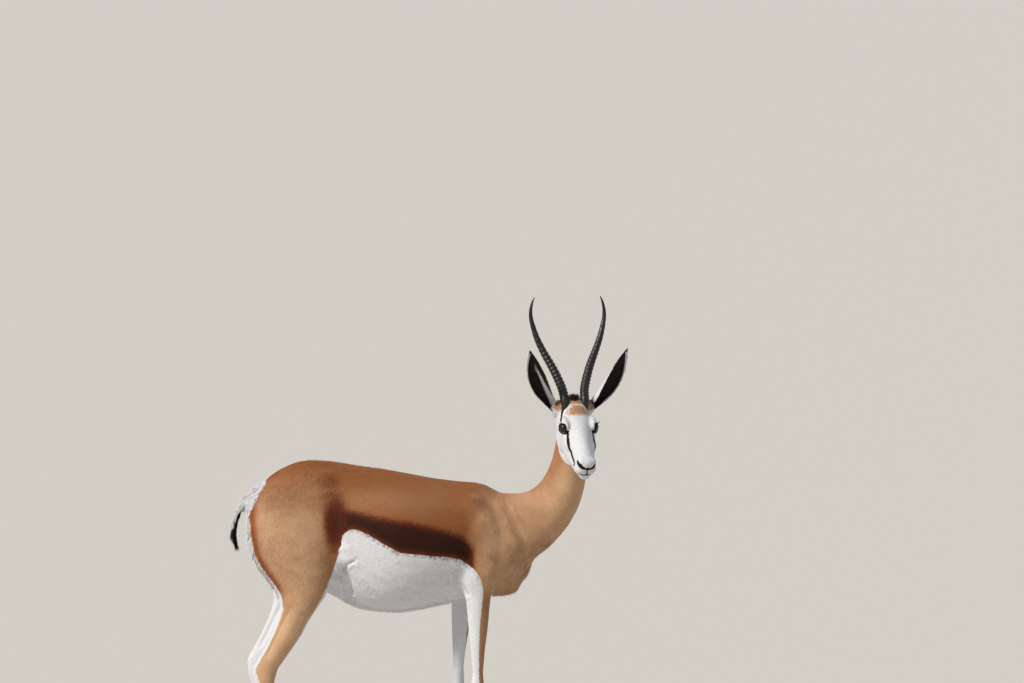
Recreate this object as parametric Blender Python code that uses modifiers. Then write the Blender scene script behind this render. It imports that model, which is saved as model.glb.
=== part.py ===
"""A springbok ewe, life size, standing with the head turned to the right side.

Metres, +X to the animal's front, +Y to its left, +Z up. Her soles stand on z = 0, and the origin
lies on the floor under the middle of her outline. Run with: blender --background --python part.py
"""

import math
from collections import namedtuple

import bmesh
import bpy
import numpy as np
from mathutils import Matrix, Vector

# Driving dimensions, to the tips of the coat
PART_GAP = 0.0003  # clearance between touching pieces
FORM_VOXEL = 0.0028  # grid that fuses the forms of the body
HEAD_TRIANGLES = 1700  # kept in each region when the fused form is thinned
LEG_TRIANGLES = 1100
TRUNK_TRIANGLES = 900

# Where the limbs stand, measured from the middle line
FORE_TRACK = 0.068
HIND_TRACK = 0.078
FAR_FORE_BACKSTEP = 0.055  # the left forefoot stands this far behind the right one
FAR_HIND_BACKSTEP = 0.022
CORONET_FRONT = 0.040  # height of the hoof's upper edge in front
CORONET_HEEL = 0.024
HOOF_SPLIT = 0.0022  # half of the cleft between the two claws

# The head's own frame starts between the eyes
EYES_MIDDLE = Vector((0.461, -0.155, 0.887))
HEAD_PITCH = math.radians(27)  # line of the mouth below the horizon
HEAD_YAW = math.radians(14)  # from square on to the right side, towards the front
EYE_RADIUS = 0.0150
EYE_PLACE = Vector((0.000, 0.0335, 0.000))  # forward, left, up in the head's frame
HORN_FOOT = Vector((-0.060, 0.0246, 0.034))
HORN_BASE_RADIUS = 0.0116
HORN_RINGS = 12
HORN_RING_DEPTH = 0.0007
EAR_FOOT = Vector((-0.072, 0.0440, 0.009))
EAR_LINE = Vector((0.063, 0.079, 0.148))  # ahead, outward and up from foot to tip
EAR_LENGTH = 0.181
EAR_BOW = 0.011  # how far the ear's middle bulges outward
EAR_HALF_WIDTH = 0.0245
EAR_THICKNESS = 0.0034
EAR_OPENING = math.radians(27)  # the opening looks this far outward from straight ahead

TrunkSlice = namedtuple("TrunkSlice", "x top bottom half_width widest top_power")
LegSlice = namedtuple("LegSlice", "z rear front out half_width pinch")
TubeSlice = namedtuple("TubeSlice", "x y z half_depth half_width up_x up_y up_z")
HeadSlice = namedtuple("HeadSlice", "forward top bottom half_width widest top_power")
EarSlice = namedtuple("EarSlice", "along width span bow")
ClawLevel = namedtuple("ClawLevel", "height half_length width ahead")

# From the buttocks to the breast: outline of the back and belly, and half the width
TRUNK = [
    TrunkSlice(-0.352, 0.690, 0.610, 0.030, 0.50, 2.0),
    TrunkSlice(-0.334, 0.722, 0.555, 0.058, 0.50, 2.0),
    TrunkSlice(-0.306, 0.747, 0.530, 0.078, 0.52, 2.0),
    TrunkSlice(-0.268, 0.774, 0.512, 0.088, 0.56, 2.0),
    TrunkSlice(-0.220, 0.792, 0.492, 0.091, 0.60, 2.0),
    TrunkSlice(-0.171, 0.794, 0.470, 0.092, 0.60, 2.1),
    TrunkSlice(-0.122, 0.788, 0.444, 0.100, 0.52, 2.1),
    TrunkSlice(-0.073, 0.780, 0.424, 0.114, 0.45, 2.1),
    TrunkSlice(-0.024, 0.773, 0.417, 0.126, 0.42, 2.0),
    TrunkSlice(0.025, 0.764, 0.415, 0.130, 0.42, 2.0),
    TrunkSlice(0.074, 0.755, 0.422, 0.125, 0.43, 1.9),
    TrunkSlice(0.122, 0.747, 0.432, 0.114, 0.45, 1.8),
    TrunkSlice(0.171, 0.742, 0.442, 0.099, 0.47, 1.7),
    TrunkSlice(0.220, 0.738, 0.450, 0.084, 0.48, 1.65),
    TrunkSlice(0.257, 0.722, 0.454, 0.072, 0.48, 1.7),
    TrunkSlice(0.294, 0.694, 0.466, 0.060, 0.48, 1.8),
    TrunkSlice(0.330, 0.650, 0.494, 0.045, 0.50, 2.0),
    TrunkSlice(0.350, 0.610, 0.530, 0.024, 0.50, 2.0),
]

# The right foreleg, elbow to coronet: its rear and front edges and its place from the middle line
FORELEG = [
    LegSlice(0.620, 0.200, 0.262, -0.026, 0.020, 0.0),
    LegSlice(0.580, 0.184, 0.268, -0.012, 0.026, 0.0),
    LegSlice(0.530, 0.173, 0.267, -0.001, 0.029, 0.0),
    LegSlice(0.490, 0.174, 0.258, 0.002, 0.028, 0.1),
    LegSlice(0.462, 0.181, 0.250, 0.002, 0.026, 0.2),
    LegSlice(0.430, 0.186, 0.246, 0.003, 0.0245, 0.2),
    LegSlice(0.390, 0.190, 0.242, 0.001, 0.0215, 0.2),
    LegSlice(0.350, 0.194, 0.236, 0.000, 0.0190, 0.2),
    LegSlice(0.300, 0.199, 0.231, 0.000, 0.0160, 0.1),
    LegSlice(0.270, 0.2015, 0.2295, 0.000, 0.0150, 0.1),
    LegSlice(0.245, 0.1975, 0.2320, 0.000, 0.0172, 0.2),
    LegSlice(0.225, 0.1995, 0.2315, 0.000, 0.0168, 0.2),
    LegSlice(0.205, 0.2040, 0.2265, 0.000, 0.0125, 0.1),
    LegSlice(0.160, 0.2050, 0.2250, 0.000, 0.0108, 0.0),
    LegSlice(0.120, 0.2045, 0.2250, 0.000, 0.0109, 0.0),
    LegSlice(0.104, 0.2020, 0.2265, 0.000, 0.0122, 0.0),
    LegSlice(0.092, 0.1990, 0.2300, 0.000, 0.0136, 0.0),
    LegSlice(0.080, 0.2010, 0.2325, 0.000, 0.0137, 0.0),
    LegSlice(0.063, 0.2105, 0.2370, 0.000, 0.0126, 0.0),
    LegSlice(0.048, 0.2165, 0.2450, 0.000, 0.0148, 0.0),
    LegSlice(0.034, 0.2170, 0.2525, 0.000, 0.0178, 0.0),
    LegSlice(0.024, 0.2190, 0.2550, 0.000, 0.0150, 0.0),
]

# The right hind leg, haunch to coronet
HINDLEG = [
    LegSlice(0.720, -0.325, -0.175, -0.028, 0.030, 0.0),
    LegSlice(0.670, -0.346, -0.150, -0.022, 0.038, 0.0),
    LegSlice(0.620, -0.352, -0.134, -0.014, 0.043, 0.0),
    LegSlice(0.575, -0.345, -0.124, -0.008, 0.045, 0.1),
    LegSlice(0.535, -0.326, -0.126, -0.004, 0.043, 0.2),
    LegSlice(0.500, -0.300, -0.138, -0.002, 0.040, 0.3),
    LegSlice(0.465, -0.277, -0.154, 0.000, 0.036, 0.3),
    LegSlice(0.435, -0.272, -0.175, 0.001, 0.032, 0.4),
    LegSlice(0.403, -0.280, -0.197, 0.001, 0.028, 0.5),
    LegSlice(0.370, -0.293, -0.214, 0.001, 0.025, 0.5),
    LegSlice(0.335, -0.310, -0.238, 0.001, 0.021, 0.5),
    LegSlice(0.305, -0.328, -0.259, 0.000, 0.0180, 0.4),
    LegSlice(0.286, -0.339, -0.272, 0.000, 0.0180, 0.3),
    LegSlice(0.262, -0.337, -0.280, 0.000, 0.0190, 0.2),
    LegSlice(0.240, -0.330, -0.284, 0.000, 0.0175, 0.1),
    LegSlice(0.215, -0.322, -0.289, 0.000, 0.0135, 0.0),
    LegSlice(0.170, -0.316, -0.291, 0.000, 0.0115, 0.0),
    LegSlice(0.122, -0.311, -0.288, 0.000, 0.0112, 0.0),
    LegSlice(0.106, -0.312, -0.284, 0.000, 0.0124, 0.0),
    LegSlice(0.094, -0.311, -0.279, 0.000, 0.0138, 0.0),
    LegSlice(0.081, -0.308, -0.276, 0.000, 0.0139, 0.0),
    LegSlice(0.063, -0.298, -0.271, 0.000, 0.0126, 0.0),
    LegSlice(0.048, -0.292, -0.263, 0.000, 0.0146, 0.0),
    LegSlice(0.034, -0.291, -0.256, 0.000, 0.0175, 0.0),
    LegSlice(0.024, -0.289, -0.254, 0.000, 0.0150, 0.0),
]

# From inside the chest to the back of the skull, with the direction of the nape
NECK = [
    TubeSlice(0.205, 0.000, 0.600, 0.120, 0.062, -0.25, 0.0, 0.97),
    TubeSlice(0.268, -0.001, 0.612, 0.108, 0.060, -0.35, 0.0, 0.93),
    TubeSlice(0.324, -0.003, 0.630, 0.088, 0.057, -0.48, 0.0, 0.88),
    TubeSlice(0.372, -0.006, 0.657, 0.072, 0.053, -0.68, 0.05, 0.73),
    TubeSlice(0.407, -0.010, 0.695, 0.061, 0.050, -0.82, 0.15, 0.55),
    TubeSlice(0.429, -0.015, 0.742, 0.053, 0.047, -0.85, 0.35, 0.35),
    TubeSlice(0.441, -0.022, 0.795, 0.046, 0.043, -0.75, 0.60, 0.20),
    TubeSlice(0.446, -0.034, 0.846, 0.042, 0.040, -0.50, 0.80, 0.25),
    TubeSlice(0.446, -0.056, 0.890, 0.039, 0.038, -0.30, 0.85, 0.40),
    TubeSlice(0.446, -0.085, 0.915, 0.034, 0.034, -0.25, 0.70, 0.60),
]

# Root to tip of the tail; the last stretch is its tuft
TAIL = [
    TubeSlice(-0.318, 0.000, 0.712, 0.016, 0.015, 0.6, 0.0, 0.8),
    TubeSlice(-0.345, 0.000, 0.701, 0.013, 0.014, 0.6, 0.0, 0.8),
    TubeSlice(-0.366, -0.002, 0.676, 0.010, 0.013, -0.8, 0.0, 0.5),
    TubeSlice(-0.380, -0.004, 0.643, 0.010, 0.012, -0.95, 0.0, 0.2),
    TubeSlice(-0.385, -0.006, 0.613, 0.010, 0.011, -1.0, 0.0, 0.0),
    TubeSlice(-0.381, -0.008, 0.592, 0.008, 0.009, -1.0, 0.0, -0.2),
    TubeSlice(-0.375, -0.009, 0.578, 0.003, 0.004, -0.9, 0.0, -0.3),
]

# The head, poll to nose: profile of the brow and jaw, and half the width
HEAD = [
    HeadSlice(-0.108, 0.012, -0.045, 0.022, 0.50, 2.0),
    HeadSlice(-0.094, 0.029, -0.066, 0.033, 0.50, 2.0),
    HeadSlice(-0.074, 0.038, -0.080, 0.0375, 0.52, 2.1),
    HeadSlice(-0.050, 0.038, -0.088, 0.0405, 0.52, 2.3),
    HeadSlice(-0.025, 0.033, -0.090, 0.0415, 0.50, 2.4),
    HeadSlice(0.000, 0.025, -0.088, 0.0400, 0.48, 2.3),
    HeadSlice(0.025, 0.015, -0.085, 0.0375, 0.42, 2.0),
    HeadSlice(0.050, 0.004, -0.082, 0.0340, 0.38, 1.9),
    HeadSlice(0.072, -0.005, -0.0795, 0.0300, 0.38, 1.9),
    HeadSlice(0.092, -0.0135, -0.079, 0.0268, 0.42, 2.1),
    HeadSlice(0.107, -0.021, -0.073, 0.0220, 0.48, 2.1),
    HeadSlice(0.118, -0.030, -0.060, 0.0135, 0.50, 2.0),
]

# The horn's sweep from its foot: up, out and back, and its radius as a share of the base's
HORN_SWEEP = [
    (-0.034, -0.003, 0.004, 1.00),
    (0.000, 0.000, 0.000, 1.00),
    (0.030, 0.003, 0.014, 0.99),
    (0.061, 0.013, 0.028, 0.96),
    (0.091, 0.026, 0.042, 0.90),
    (0.121, 0.041, 0.054, 0.80),
    (0.155, 0.0555, 0.063, 0.67),
    (0.193, 0.066, 0.070, 0.50),
    (0.217, 0.068, 0.073, 0.38),
    (0.239, 0.064, 0.074, 0.25),
    (0.253, 0.058, 0.074, 0.09),
]


# The ear from its rolled foot to its tip: width as a share of the widest, and how far it is rolled
EAR = [
    EarSlice(-0.12, 0.44, 150, 0.000),
    EarSlice(0.00, 0.49, 146, 0.000),
    EarSlice(0.09, 0.58, 132, 0.000),
    EarSlice(0.20, 0.72, 112, 0.000),
    EarSlice(0.33, 0.92, 92, -0.001),
    EarSlice(0.47, 1.00, 78, -0.002),
    EarSlice(0.62, 0.92, 68, -0.002),
    EarSlice(0.76, 0.70, 62, 0.000),
    EarSlice(0.88, 0.42, 60, 0.003),
    EarSlice(0.96, 0.20, 60, 0.006),
    EarSlice(1.00, 0.07, 60, 0.008),
]

# One claw of a hoof, sole to coronet
CLAW = [
    ClawLevel(0.0, 0.0268, 0.0190, 0.0043),
    ClawLevel(0.5, 0.0225, 0.0184, 0.0010),
    ClawLevel(1.0, 0.0164, 0.0164, -0.0008),
]


def clear_scene():
    for thing in list(bpy.data.objects):
        bpy.data.objects.remove(thing, do_unlink=True)


def make_collection(name):
    group = bpy.data.collections.new(name)
    bpy.context.scene.collection.children.link(group)
    return group


def make_material(name, colour, roughness):
    material = bpy.data.materials.new(name)
    material.use_nodes = True
    shader = material.node_tree.nodes["Principled BSDF"]
    shader.inputs["Base Color"].default_value = (*colour, 1.0)
    shader.inputs["Roughness"].default_value = roughness
    shader.inputs["Metallic"].default_value = 0.0
    return material


def through(rows, between):
    """Rows of numbers on a smooth Catmull-Rom curve through the given rows."""
    rows = np.array(rows, float)
    ends = np.vstack([2 * rows[0] - rows[1], rows, 2 * rows[-1] - rows[-2]])
    made = []
    for i in range(1, len(ends) - 2):
        a, b, c, d = ends[i - 1 : i + 3]
        for t in np.arange(between) / between:
            curve = 2 * b + (c - a) * t + (2 * a - 5 * b + 4 * c - d) * t * t
            made.append((curve + (3 * b - a - 3 * c + d) * t**3) / 2)
    made.append(rows[-1])
    return made


def rounded(angle, power):
    """A point on a unit oval: power 2 is an ellipse, more is squarer, less is pointed."""
    c, s = math.cos(angle), math.sin(angle)
    return (
        math.copysign(abs(c) ** (2 / power), c),
        math.copysign(abs(s) ** (2 / power), s),
    )


def turns(count):
    return [2 * math.pi * i / count for i in range(count)]


def loft(name, rings, group):
    """A closed skin over a row of rings that all hold the same number of points."""
    shape = bmesh.new()
    rows = [[shape.verts.new(p) for p in ring] for ring in rings]
    count = len(rows[0])
    for here, there in zip(rows, rows[1:]):
        for i in range(count):
            j = (i + 1) % count
            shape.faces.new((here[i], here[j], there[j], there[i]))
    shape.faces.new(list(reversed(rows[0])))
    shape.faces.new(rows[-1])
    bmesh.ops.recalc_face_normals(shape, faces=shape.faces)
    return as_object(name, shape, group)


def as_object(name, shape, group):
    mesh = bpy.data.meshes.new(name)
    shape.to_mesh(mesh)
    shape.free()
    thing = bpy.data.objects.new(name, mesh)
    group.objects.link(thing)
    return thing


def ball(name, middle, radii, group, turn=None, steps=20):
    """An ellipsoid: radii along its own axes, which turn may rotate."""
    shape = bmesh.new()
    bmesh.ops.create_uvsphere(shape, u_segments=steps, v_segments=steps // 2, radius=1.0)
    place = Matrix.Translation(middle)
    if turn is not None:
        place = place @ turn.to_4x4()
    place = place @ Matrix.Diagonal((*radii, 1.0))
    bmesh.ops.transform(shape, matrix=place, verts=shape.verts)
    return as_object(name, shape, group)


def head_axes():
    """The head's forward, left and up directions in the animal's frame."""
    forward = Vector(
        (
            math.cos(HEAD_PITCH) * math.sin(HEAD_YAW),
            -math.cos(HEAD_PITCH) * math.cos(HEAD_YAW),
            -math.sin(HEAD_PITCH),
        )
    )
    left = Vector((math.cos(HEAD_YAW), math.sin(HEAD_YAW), 0.0))
    return forward, left, forward.cross(left)


def head_turn():
    return Matrix(head_axes()).transposed()


def on_head(place, side=1):
    """A point given as forward, left, up in the head's frame. side -1 puts it on the right."""
    forward, left, up = head_axes()
    return EYES_MIDDLE + forward * place[0] + left * (place[1] * side) + up * place[2]


def trunk_form(group):
    rings = []
    for row in through(TRUNK, 4):
        part = TrunkSlice(*row)
        middle = part.bottom + part.widest * (part.top - part.bottom)
        ring = []
        for angle in turns(40):
            power = part.top_power if math.sin(angle) > 0 else 2.1
            across, rise = rounded(angle, power)
            reach = part.top - middle if rise > 0 else middle - part.bottom
            ring.append((part.x, across * part.half_width, middle + rise * reach))
        rings.append(ring)
    return loft("trunk_form", rings, group)


def leg_form(name, slices, track, side, backstep, group):
    """Level slices from the top of the leg down. backstep gives the shift back at a height."""
    rings = []
    for row in through(slices, 3):
        part = LegSlice(*row)
        shift = backstep(part.z)
        middle, half = (part.rear + part.front) / 2 + shift, (part.front - part.rear) / 2
        ring = []
        for angle in turns(24):
            along, across = rounded(angle, 2.15)
            narrowing = 1 - part.pinch * max(0.0, -along)
            y = side * (track + part.out) + across * part.half_width * narrowing
            ring.append((middle + along * half, y, part.z))
        rings.append(ring)
    return loft(name, rings, group)


def tube_form(name, slices, group, power=2.1, steps=28):
    """A tube along a curve. Each slice names its nape-side direction and two half sizes."""
    rows = [TubeSlice(*row) for row in through(slices, 4)]
    spots = [Vector((r.x, r.y, r.z)) for r in rows]
    rings = []
    for i, row in enumerate(rows):
        along = (spots[min(i + 1, len(spots) - 1)] - spots[max(i - 1, 0)]).normalized()
        up = Vector((row.up_x, row.up_y, row.up_z))
        up = (up - along * up.dot(along)).normalized()
        across = along.cross(up)
        ring = []
        for angle in turns(steps):
            a, b = rounded(angle, power)
            ring.append(spots[i] + across * (a * row.half_width) + up * (b * row.half_depth))
        rings.append(ring)
    return loft(name, rings, group)


def head_form(group):
    """The skull with its jaws: slices square to the head's long axis."""
    rings = []
    for row in through(HEAD, 4):
        part = HeadSlice(*row)
        middle = part.bottom + part.widest * (part.top - part.bottom)
        ring = []
        for angle in turns(36):
            across, rise = rounded(angle, part.top_power if math.sin(angle) > 0 else 2.1)
            reach = part.top - middle if rise > 0 else middle - part.bottom
            ring.append(on_head((part.forward, across * part.half_width, middle + rise * reach)))
        rings.append(ring)
    return loft("head_form", rings, group)


def head_details(group):
    """Brows, cheeks, lips, chin, nose pad and horn pedicles, as ellipsoids on both sides."""
    turn = head_turn()
    shapes = [ball("nose_pad", on_head((0.1080, 0, -0.0330)), (0.0150, 0.0190, 0.0150), group, turn)]
    shapes.append(ball("chin", on_head((0.095, 0, -0.0755)), (0.0185, 0.0150, 0.0095), group, turn))
    shapes.append(ball("crown", on_head((-0.066, 0, 0.025)), (0.030, 0.026, 0.017), group, turn))
    for side in (-1, 1):
        pairs = {
            "brow": ((-0.008, 0.0350, 0.009), (0.027, 0.0120, 0.0135)),
            "lower_lid": ((0.004, 0.0350, -0.012), (0.024, 0.0105, 0.011)),
            "cheekbone": ((0.016, 0.0310, -0.027), (0.044, 0.0095, 0.014)),
            "jaw_muscle": ((-0.034, 0.0260, -0.050), (0.042, 0.0150, 0.037)),
            "upper_lip": ((0.0975, 0.0130, -0.0520), (0.0200, 0.0145, 0.0135)),
            "nostril_wing": ((0.1070, 0.0125, -0.0290), (0.0115, 0.0095, 0.0095)),
            "horn_pedicle": (tuple(HORN_FOOT - Vector((0.003, 0.0, 0.009))), (0.017, 0.0145, 0.017)),
            "ear_root": ((-0.072, 0.0355, 0.010), (0.0205, 0.0165, 0.0215)),
        }
        for name, (place, radii) in pairs.items():
            shapes.append(ball(name, on_head(place, side), radii, group, turn))
    return shapes


def muscles(group):
    """What rounds the body out: haunches, hips, shoulders, upper arms, breast and flank folds."""
    lean = Matrix.Rotation(math.radians(-22), 3, "Y")
    shapes = [
        ball("breast", Vector((0.306, 0, 0.545)), (0.044, 0.046, 0.062), group),
        ball("brisket", Vector((0.262, 0, 0.478)), (0.060, 0.038, 0.024), group),
        ball("tail_head", Vector((-0.300, 0, 0.712)), (0.042, 0.036, 0.030), group),
    ]
    for side in (-1, 1):
        spots = {
            "haunch": ((-0.255, 0.054, 0.650), (0.090, 0.044, 0.100), None),
            "hip": ((-0.165, 0.055, 0.735), (0.044, 0.027, 0.040), None),
            "blade": ((0.224, 0.050, 0.625), (0.052, 0.027, 0.094), lean),
            "upper_arm": ((0.216, 0.062, 0.548), (0.054, 0.031, 0.064), None),
            "shoulder_point": ((0.286, 0.040, 0.580), (0.036, 0.028, 0.050), lean),
            "flank_fold": ((-0.128, 0.078, 0.560), (0.044, 0.018, 0.056), None),
        }
        for name, (place, radii, turn) in spots.items():
            spot = Vector((place[0], place[1] * side, place[2]))
            shapes.append(ball(name, spot, radii, group, turn))
    return shapes


def fore_backstep(height):
    return -FAR_FORE_BACKSTEP + 0.030 * (height / 0.60) ** 2


def hind_backstep(height):
    share = min(1.0, max(0.0, (0.62 - height) / 0.17))
    return -FAR_HIND_BACKSTEP * share * share * (3 - 2 * share)


def no_backstep(_height):
    return 0.0


def body_form(group):
    """Trunk, neck, head, legs and tail fused into one smooth closed skin."""
    forms = [trunk_form(group), head_form(group), tube_form("neck_form", NECK, group)]
    forms.append(tube_form("tail_form", TAIL, group, steps=16))
    forms += muscles(group)
    forms += head_details(group)
    for name, side, fore_shift, hind_shift in (
        ("right", -1, no_backstep, no_backstep),
        ("left", 1, fore_backstep, hind_backstep),
    ):
        forms.append(leg_form(f"fore_{name}", FORELEG, FORE_TRACK, side, fore_shift, group))
        forms.append(leg_form(f"hind_{name}", HINDLEG, HIND_TRACK, side, hind_shift, group))
    return fuse("body", forms, group)


def fuse(name, forms, group):
    """Joins overlapping closed forms, rebuilds their outer surface and smooths the joins."""
    shape = bmesh.new()
    for form in forms:
        shape.from_mesh(form.data)
        bpy.data.objects.remove(form, do_unlink=True)
    body = as_object(name, shape, group)
    grid = body.modifiers.new("outer surface", "REMESH")
    grid.mode = "VOXEL"
    grid.voxel_size = FORM_VOXEL
    apply_modifiers(body)
    fine = body.vertex_groups.new(name="fine")
    broad = body.vertex_groups.new(name="broad")
    head_middle = on_head((0.02, 0, -0.025))
    for v in body.data.vertices:
        head = ramp((v.co - head_middle).length, 0.135, 0.110)
        low = ramp(v.co.z, 0.48, 0.36)
        tail = ramp(v.co.x, -0.335, -0.355)
        fine.add([v.index], max(head, low, tail), "REPLACE")
        broad.add([v.index], 1.0 - max(head, low, tail), "REPLACE")
    for group_name, rounds in (("fine", 8), ("broad", 85)):
        soften = body.modifiers.new("soften the joins", "SMOOTH")
        soften.factor = 0.6
        soften.iterations = rounds
        soften.vertex_group = group_name
    apply_modifiers(body)
    return body


def ramp(value, none, full):
    """0 at none, 1 at full, and even in between."""
    return min(1.0, max(0.0, (value - none) / (full - none)))


def thin(body):
    """Collapses edges, one region after another, until each holds its share of triangles."""
    head_middle = on_head((0.02, 0, -0.025))
    regions = (
        (HEAD_TRIANGLES, lambda spot: (spot - head_middle).length < 0.135),
        (LEG_TRIANGLES, lambda spot: spot.z < 0.45),
        (TRUNK_TRIANGLES, lambda spot: spot.z >= 0.45 and (spot - head_middle).length >= 0.135),
    )
    for triangles, inside in regions:
        body.vertex_groups.clear()
        region = body.vertex_groups.new(name="region")
        region.add([v.index for v in body.data.vertices if inside(v.co)], 1.0, "REPLACE")
        whole = sum(len(face.vertices) - 2 for face in body.data.polygons)
        here = sum(len(face.vertices) - 2 for face in body.data.polygons if inside(face.center))
        fewer = body.modifiers.new("fewer faces", "DECIMATE")
        fewer.ratio = (whole - here + triangles) / whole
        fewer.use_collapse_triangulate = True
        fewer.vertex_group = "region"
        apply_modifiers(body)


def apply_modifiers(thing):
    """Keeps the evaluated shape as the object's own mesh."""
    bpy.context.view_layer.update()
    graph = bpy.context.evaluated_depsgraph_get()
    mesh = bpy.data.meshes.new_from_object(thing.evaluated_get(graph))
    old = thing.data
    thing.modifiers.clear()
    thing.data = mesh
    bpy.data.meshes.remove(old)


def combine(thing, tool, operation):
    """Cuts the tool out of the thing, or keeps what they share, and removes the tool."""
    step = thing.modifiers.new("cut", "BOOLEAN")
    step.operation = operation
    step.solver = "EXACT"
    step.object = tool
    apply_modifiers(thing)
    bpy.data.objects.remove(tool, do_unlink=True)


def prism(name, outline, low, high, place, group):
    """An outline of (y, z) points drawn out along X, in the frame that place gives."""
    rings = [[place @ Vector((x, y, z)) for y, z in outline] for x in (low, high)]
    return loft(name, rings, group)


def shell(thing):
    """Turns a closed form into thin walls: the clearance that parts the body along its surface."""
    walls = thing.modifiers.new("walls", "SOLIDIFY")
    walls.thickness = PART_GAP
    walls.offset = 0.0
    walls.use_even_offset = True
    apply_modifiers(thing)
    return thing


def facing(middle, normal):
    """A place whose own X axis points along the normal, with its Z axis as upright as may be."""
    x_axis = Vector(normal).normalized()
    y_axis = Vector((0, 0, 1)).cross(x_axis).normalized()
    turn = Matrix((x_axis, y_axis, x_axis.cross(y_axis))).transposed()
    return Matrix.Translation(middle) @ turn.to_4x4()


def rectangle(y_low, y_high, z_low, z_high):
    return [(y_low, z_low), (y_high, z_low), (y_high, z_high), (y_low, z_high)]


def leg_outline(crotch, hip, side):
    """Seen from the front: straight up inside the leg, then slanting out over the joint."""
    inner, outer, floor = 0.010, 0.250, -0.050
    points = [(inner, floor), (inner, crotch[1] - 0.03), crotch, hip, (outer, hip[1]), (outer, floor)]
    return [(y * side, z) for y, z in points]


def part_body(body, group):
    """Parts the fused body into head, neck, trunk, tail and legs, with thin cuts."""
    forward, _left, up = head_axes()
    nape = facing(on_head((-0.073, 0, -0.045)), forward * 0.77 + up * 0.64)
    neck_base = facing(Vector((0.309, 0.0, 0.633)), (0.925, 0.0, 0.380))
    level = Matrix.Identity(4)
    regions = [
        prism("nape", rectangle(-0.09, 0.09, -0.25, 0.16), 0, 0.50, nape, group),
        prism("neck_base", rectangle(-0.45, 0.25, -0.17, 0.60), 0, 0.90, neck_base, group),
        prism("tail_root", rectangle(-0.03, 0.03, 0.54, 0.73), -0.42, -0.354, level, group),
    ]
    for side in (-1, 1):
        back = fore_backstep(0.5) if side > 0 else 0.0
        fore = leg_outline((0.034, 0.445), (0.122, 0.625), side)
        hind = leg_outline((0.020, 0.500), (0.118, 0.735), side)
        regions.append(prism("fore_region", fore, 0.150 + back, 0.300 + back, level, group))
        regions.append(prism("hind_region", hind, -0.420, -0.118, level, group))
    walls = bmesh.new()
    for region in regions:
        walls.from_mesh(shell(region).data)
        bpy.data.objects.remove(region, do_unlink=True)
    combine(body, as_object("walls", walls, group), "DIFFERENCE")
    for side in (-1, 1):
        for foot in foot_places(side):
            combine(body, below_coronet(foot, group), "DIFFERENCE")
    seeds = {
        "head": on_head((0.00, 0, -0.03)),
        "neck": Vector((0.400, -0.010, 0.690)),
        "trunk": Vector((0.000, 0.0, 0.620)),
        "tail": Vector((-0.375, 0.0, 0.640)),
        "foreleg_right": Vector((0.220, -0.068, 0.350)),
        "foreleg_left": Vector((0.175, 0.068, 0.350)),
        "hindleg_right": Vector((-0.240, -0.078, 0.450)),
        "hindleg_left": Vector((-0.255, 0.078, 0.450)),
    }
    return name_pieces(body, seeds, group)


def loose_pieces(shape):
    """The faces of a mesh, one set for each piece that hangs together."""
    left_over = set(shape.faces)
    pieces = []
    while left_over:
        piece, rim = set(), [left_over.pop()]
        while rim:
            face = rim.pop()
            piece.add(face)
            near = {other for edge in face.edges for other in edge.link_faces} & left_over
            left_over -= near
            rim.extend(near)
        pieces.append(piece)
    return pieces


def name_pieces(body, seeds, group):
    """Splits loose pieces into objects, each named after the seed nearest to its middle."""
    shape = bmesh.new()
    shape.from_mesh(body.data)
    bpy.data.objects.remove(body, do_unlink=True)
    made = {}
    for piece in loose_pieces(shape):
        area = sum(face.calc_area() for face in piece)
        middle = sum((face.calc_center_median() * face.calc_area() for face in piece), Vector()) / area
        name = min(seeds, key=lambda seed: (seeds[seed] - middle).length)
        if name in made:
            raise ValueError(f"two pieces of the body would be called {name}")
        part = bmesh.new()
        verts = {v: part.verts.new(v.co) for face in piece for v in face.verts}
        for face in piece:
            part.faces.new([verts[v] for v in face.verts])
        made[name] = as_object(name, part, group)
    shape.free()
    if len(made) != len(seeds):
        raise ValueError("a piece of the body is missing: " + ", ".join(set(seeds) - set(made)))
    return made


def foot_places(side):
    """Where the fore and hind coronets stand: their middles on the floor."""
    fore, hind = LegSlice(*FORELEG[-2]), LegSlice(*HINDLEG[-2])
    shift = (fore_backstep(0.0), hind_backstep(0.0)) if side > 0 else (0.0, 0.0)
    return (
        Vector(((fore.rear + fore.front) / 2 + shift[0], FORE_TRACK * side, 0.0)),
        Vector(((hind.rear + hind.front) / 2 + shift[1], HIND_TRACK * side, 0.0)),
    )


def coronet_height(ahead):
    """Height of the hoof's upper edge, ahead of the foot's middle."""
    share = (ahead + 0.018) / 0.036
    return CORONET_HEEL + (CORONET_FRONT - CORONET_HEEL) * share


def below_coronet(foot, group):
    """Everything of the foot under the sloping coronet."""
    reach = 0.05
    corners = [(-reach, -reach), (reach, -reach)]
    corners += [(x, coronet_height(x)) for x in (reach, -reach)]
    rings = [[foot + Vector((x, y, z)) for x, z in corners] for y in (-0.035, 0.035)]
    return loft("below_coronet", rings, group)


def claw(name, foot, outward, group):
    """One half of a cloven hoof: a flat sole, a steep wall and a sloping top."""
    rings = []
    for level in CLAW:
        ring = []
        for angle in turns(14):
            along, across = rounded(angle, 2.3)
            pointed = 1 - 0.42 * max(0.0, along) ** 2
            width = level.width * pointed
            if across > 0:
                out = (across + 1) / 2 * width
            else:
                out = width / 2 * (1 - 0.93 * min(1.0, -across * 1.6))
            x = level.ahead + along * level.half_length
            z = (coronet_height(x) - PART_GAP) * level.height
            ring.append(foot + Vector((x, outward * (HOOF_SPLIT + out), z)))
        rings.append(ring)
    return loft(name, rings, group)


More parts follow.
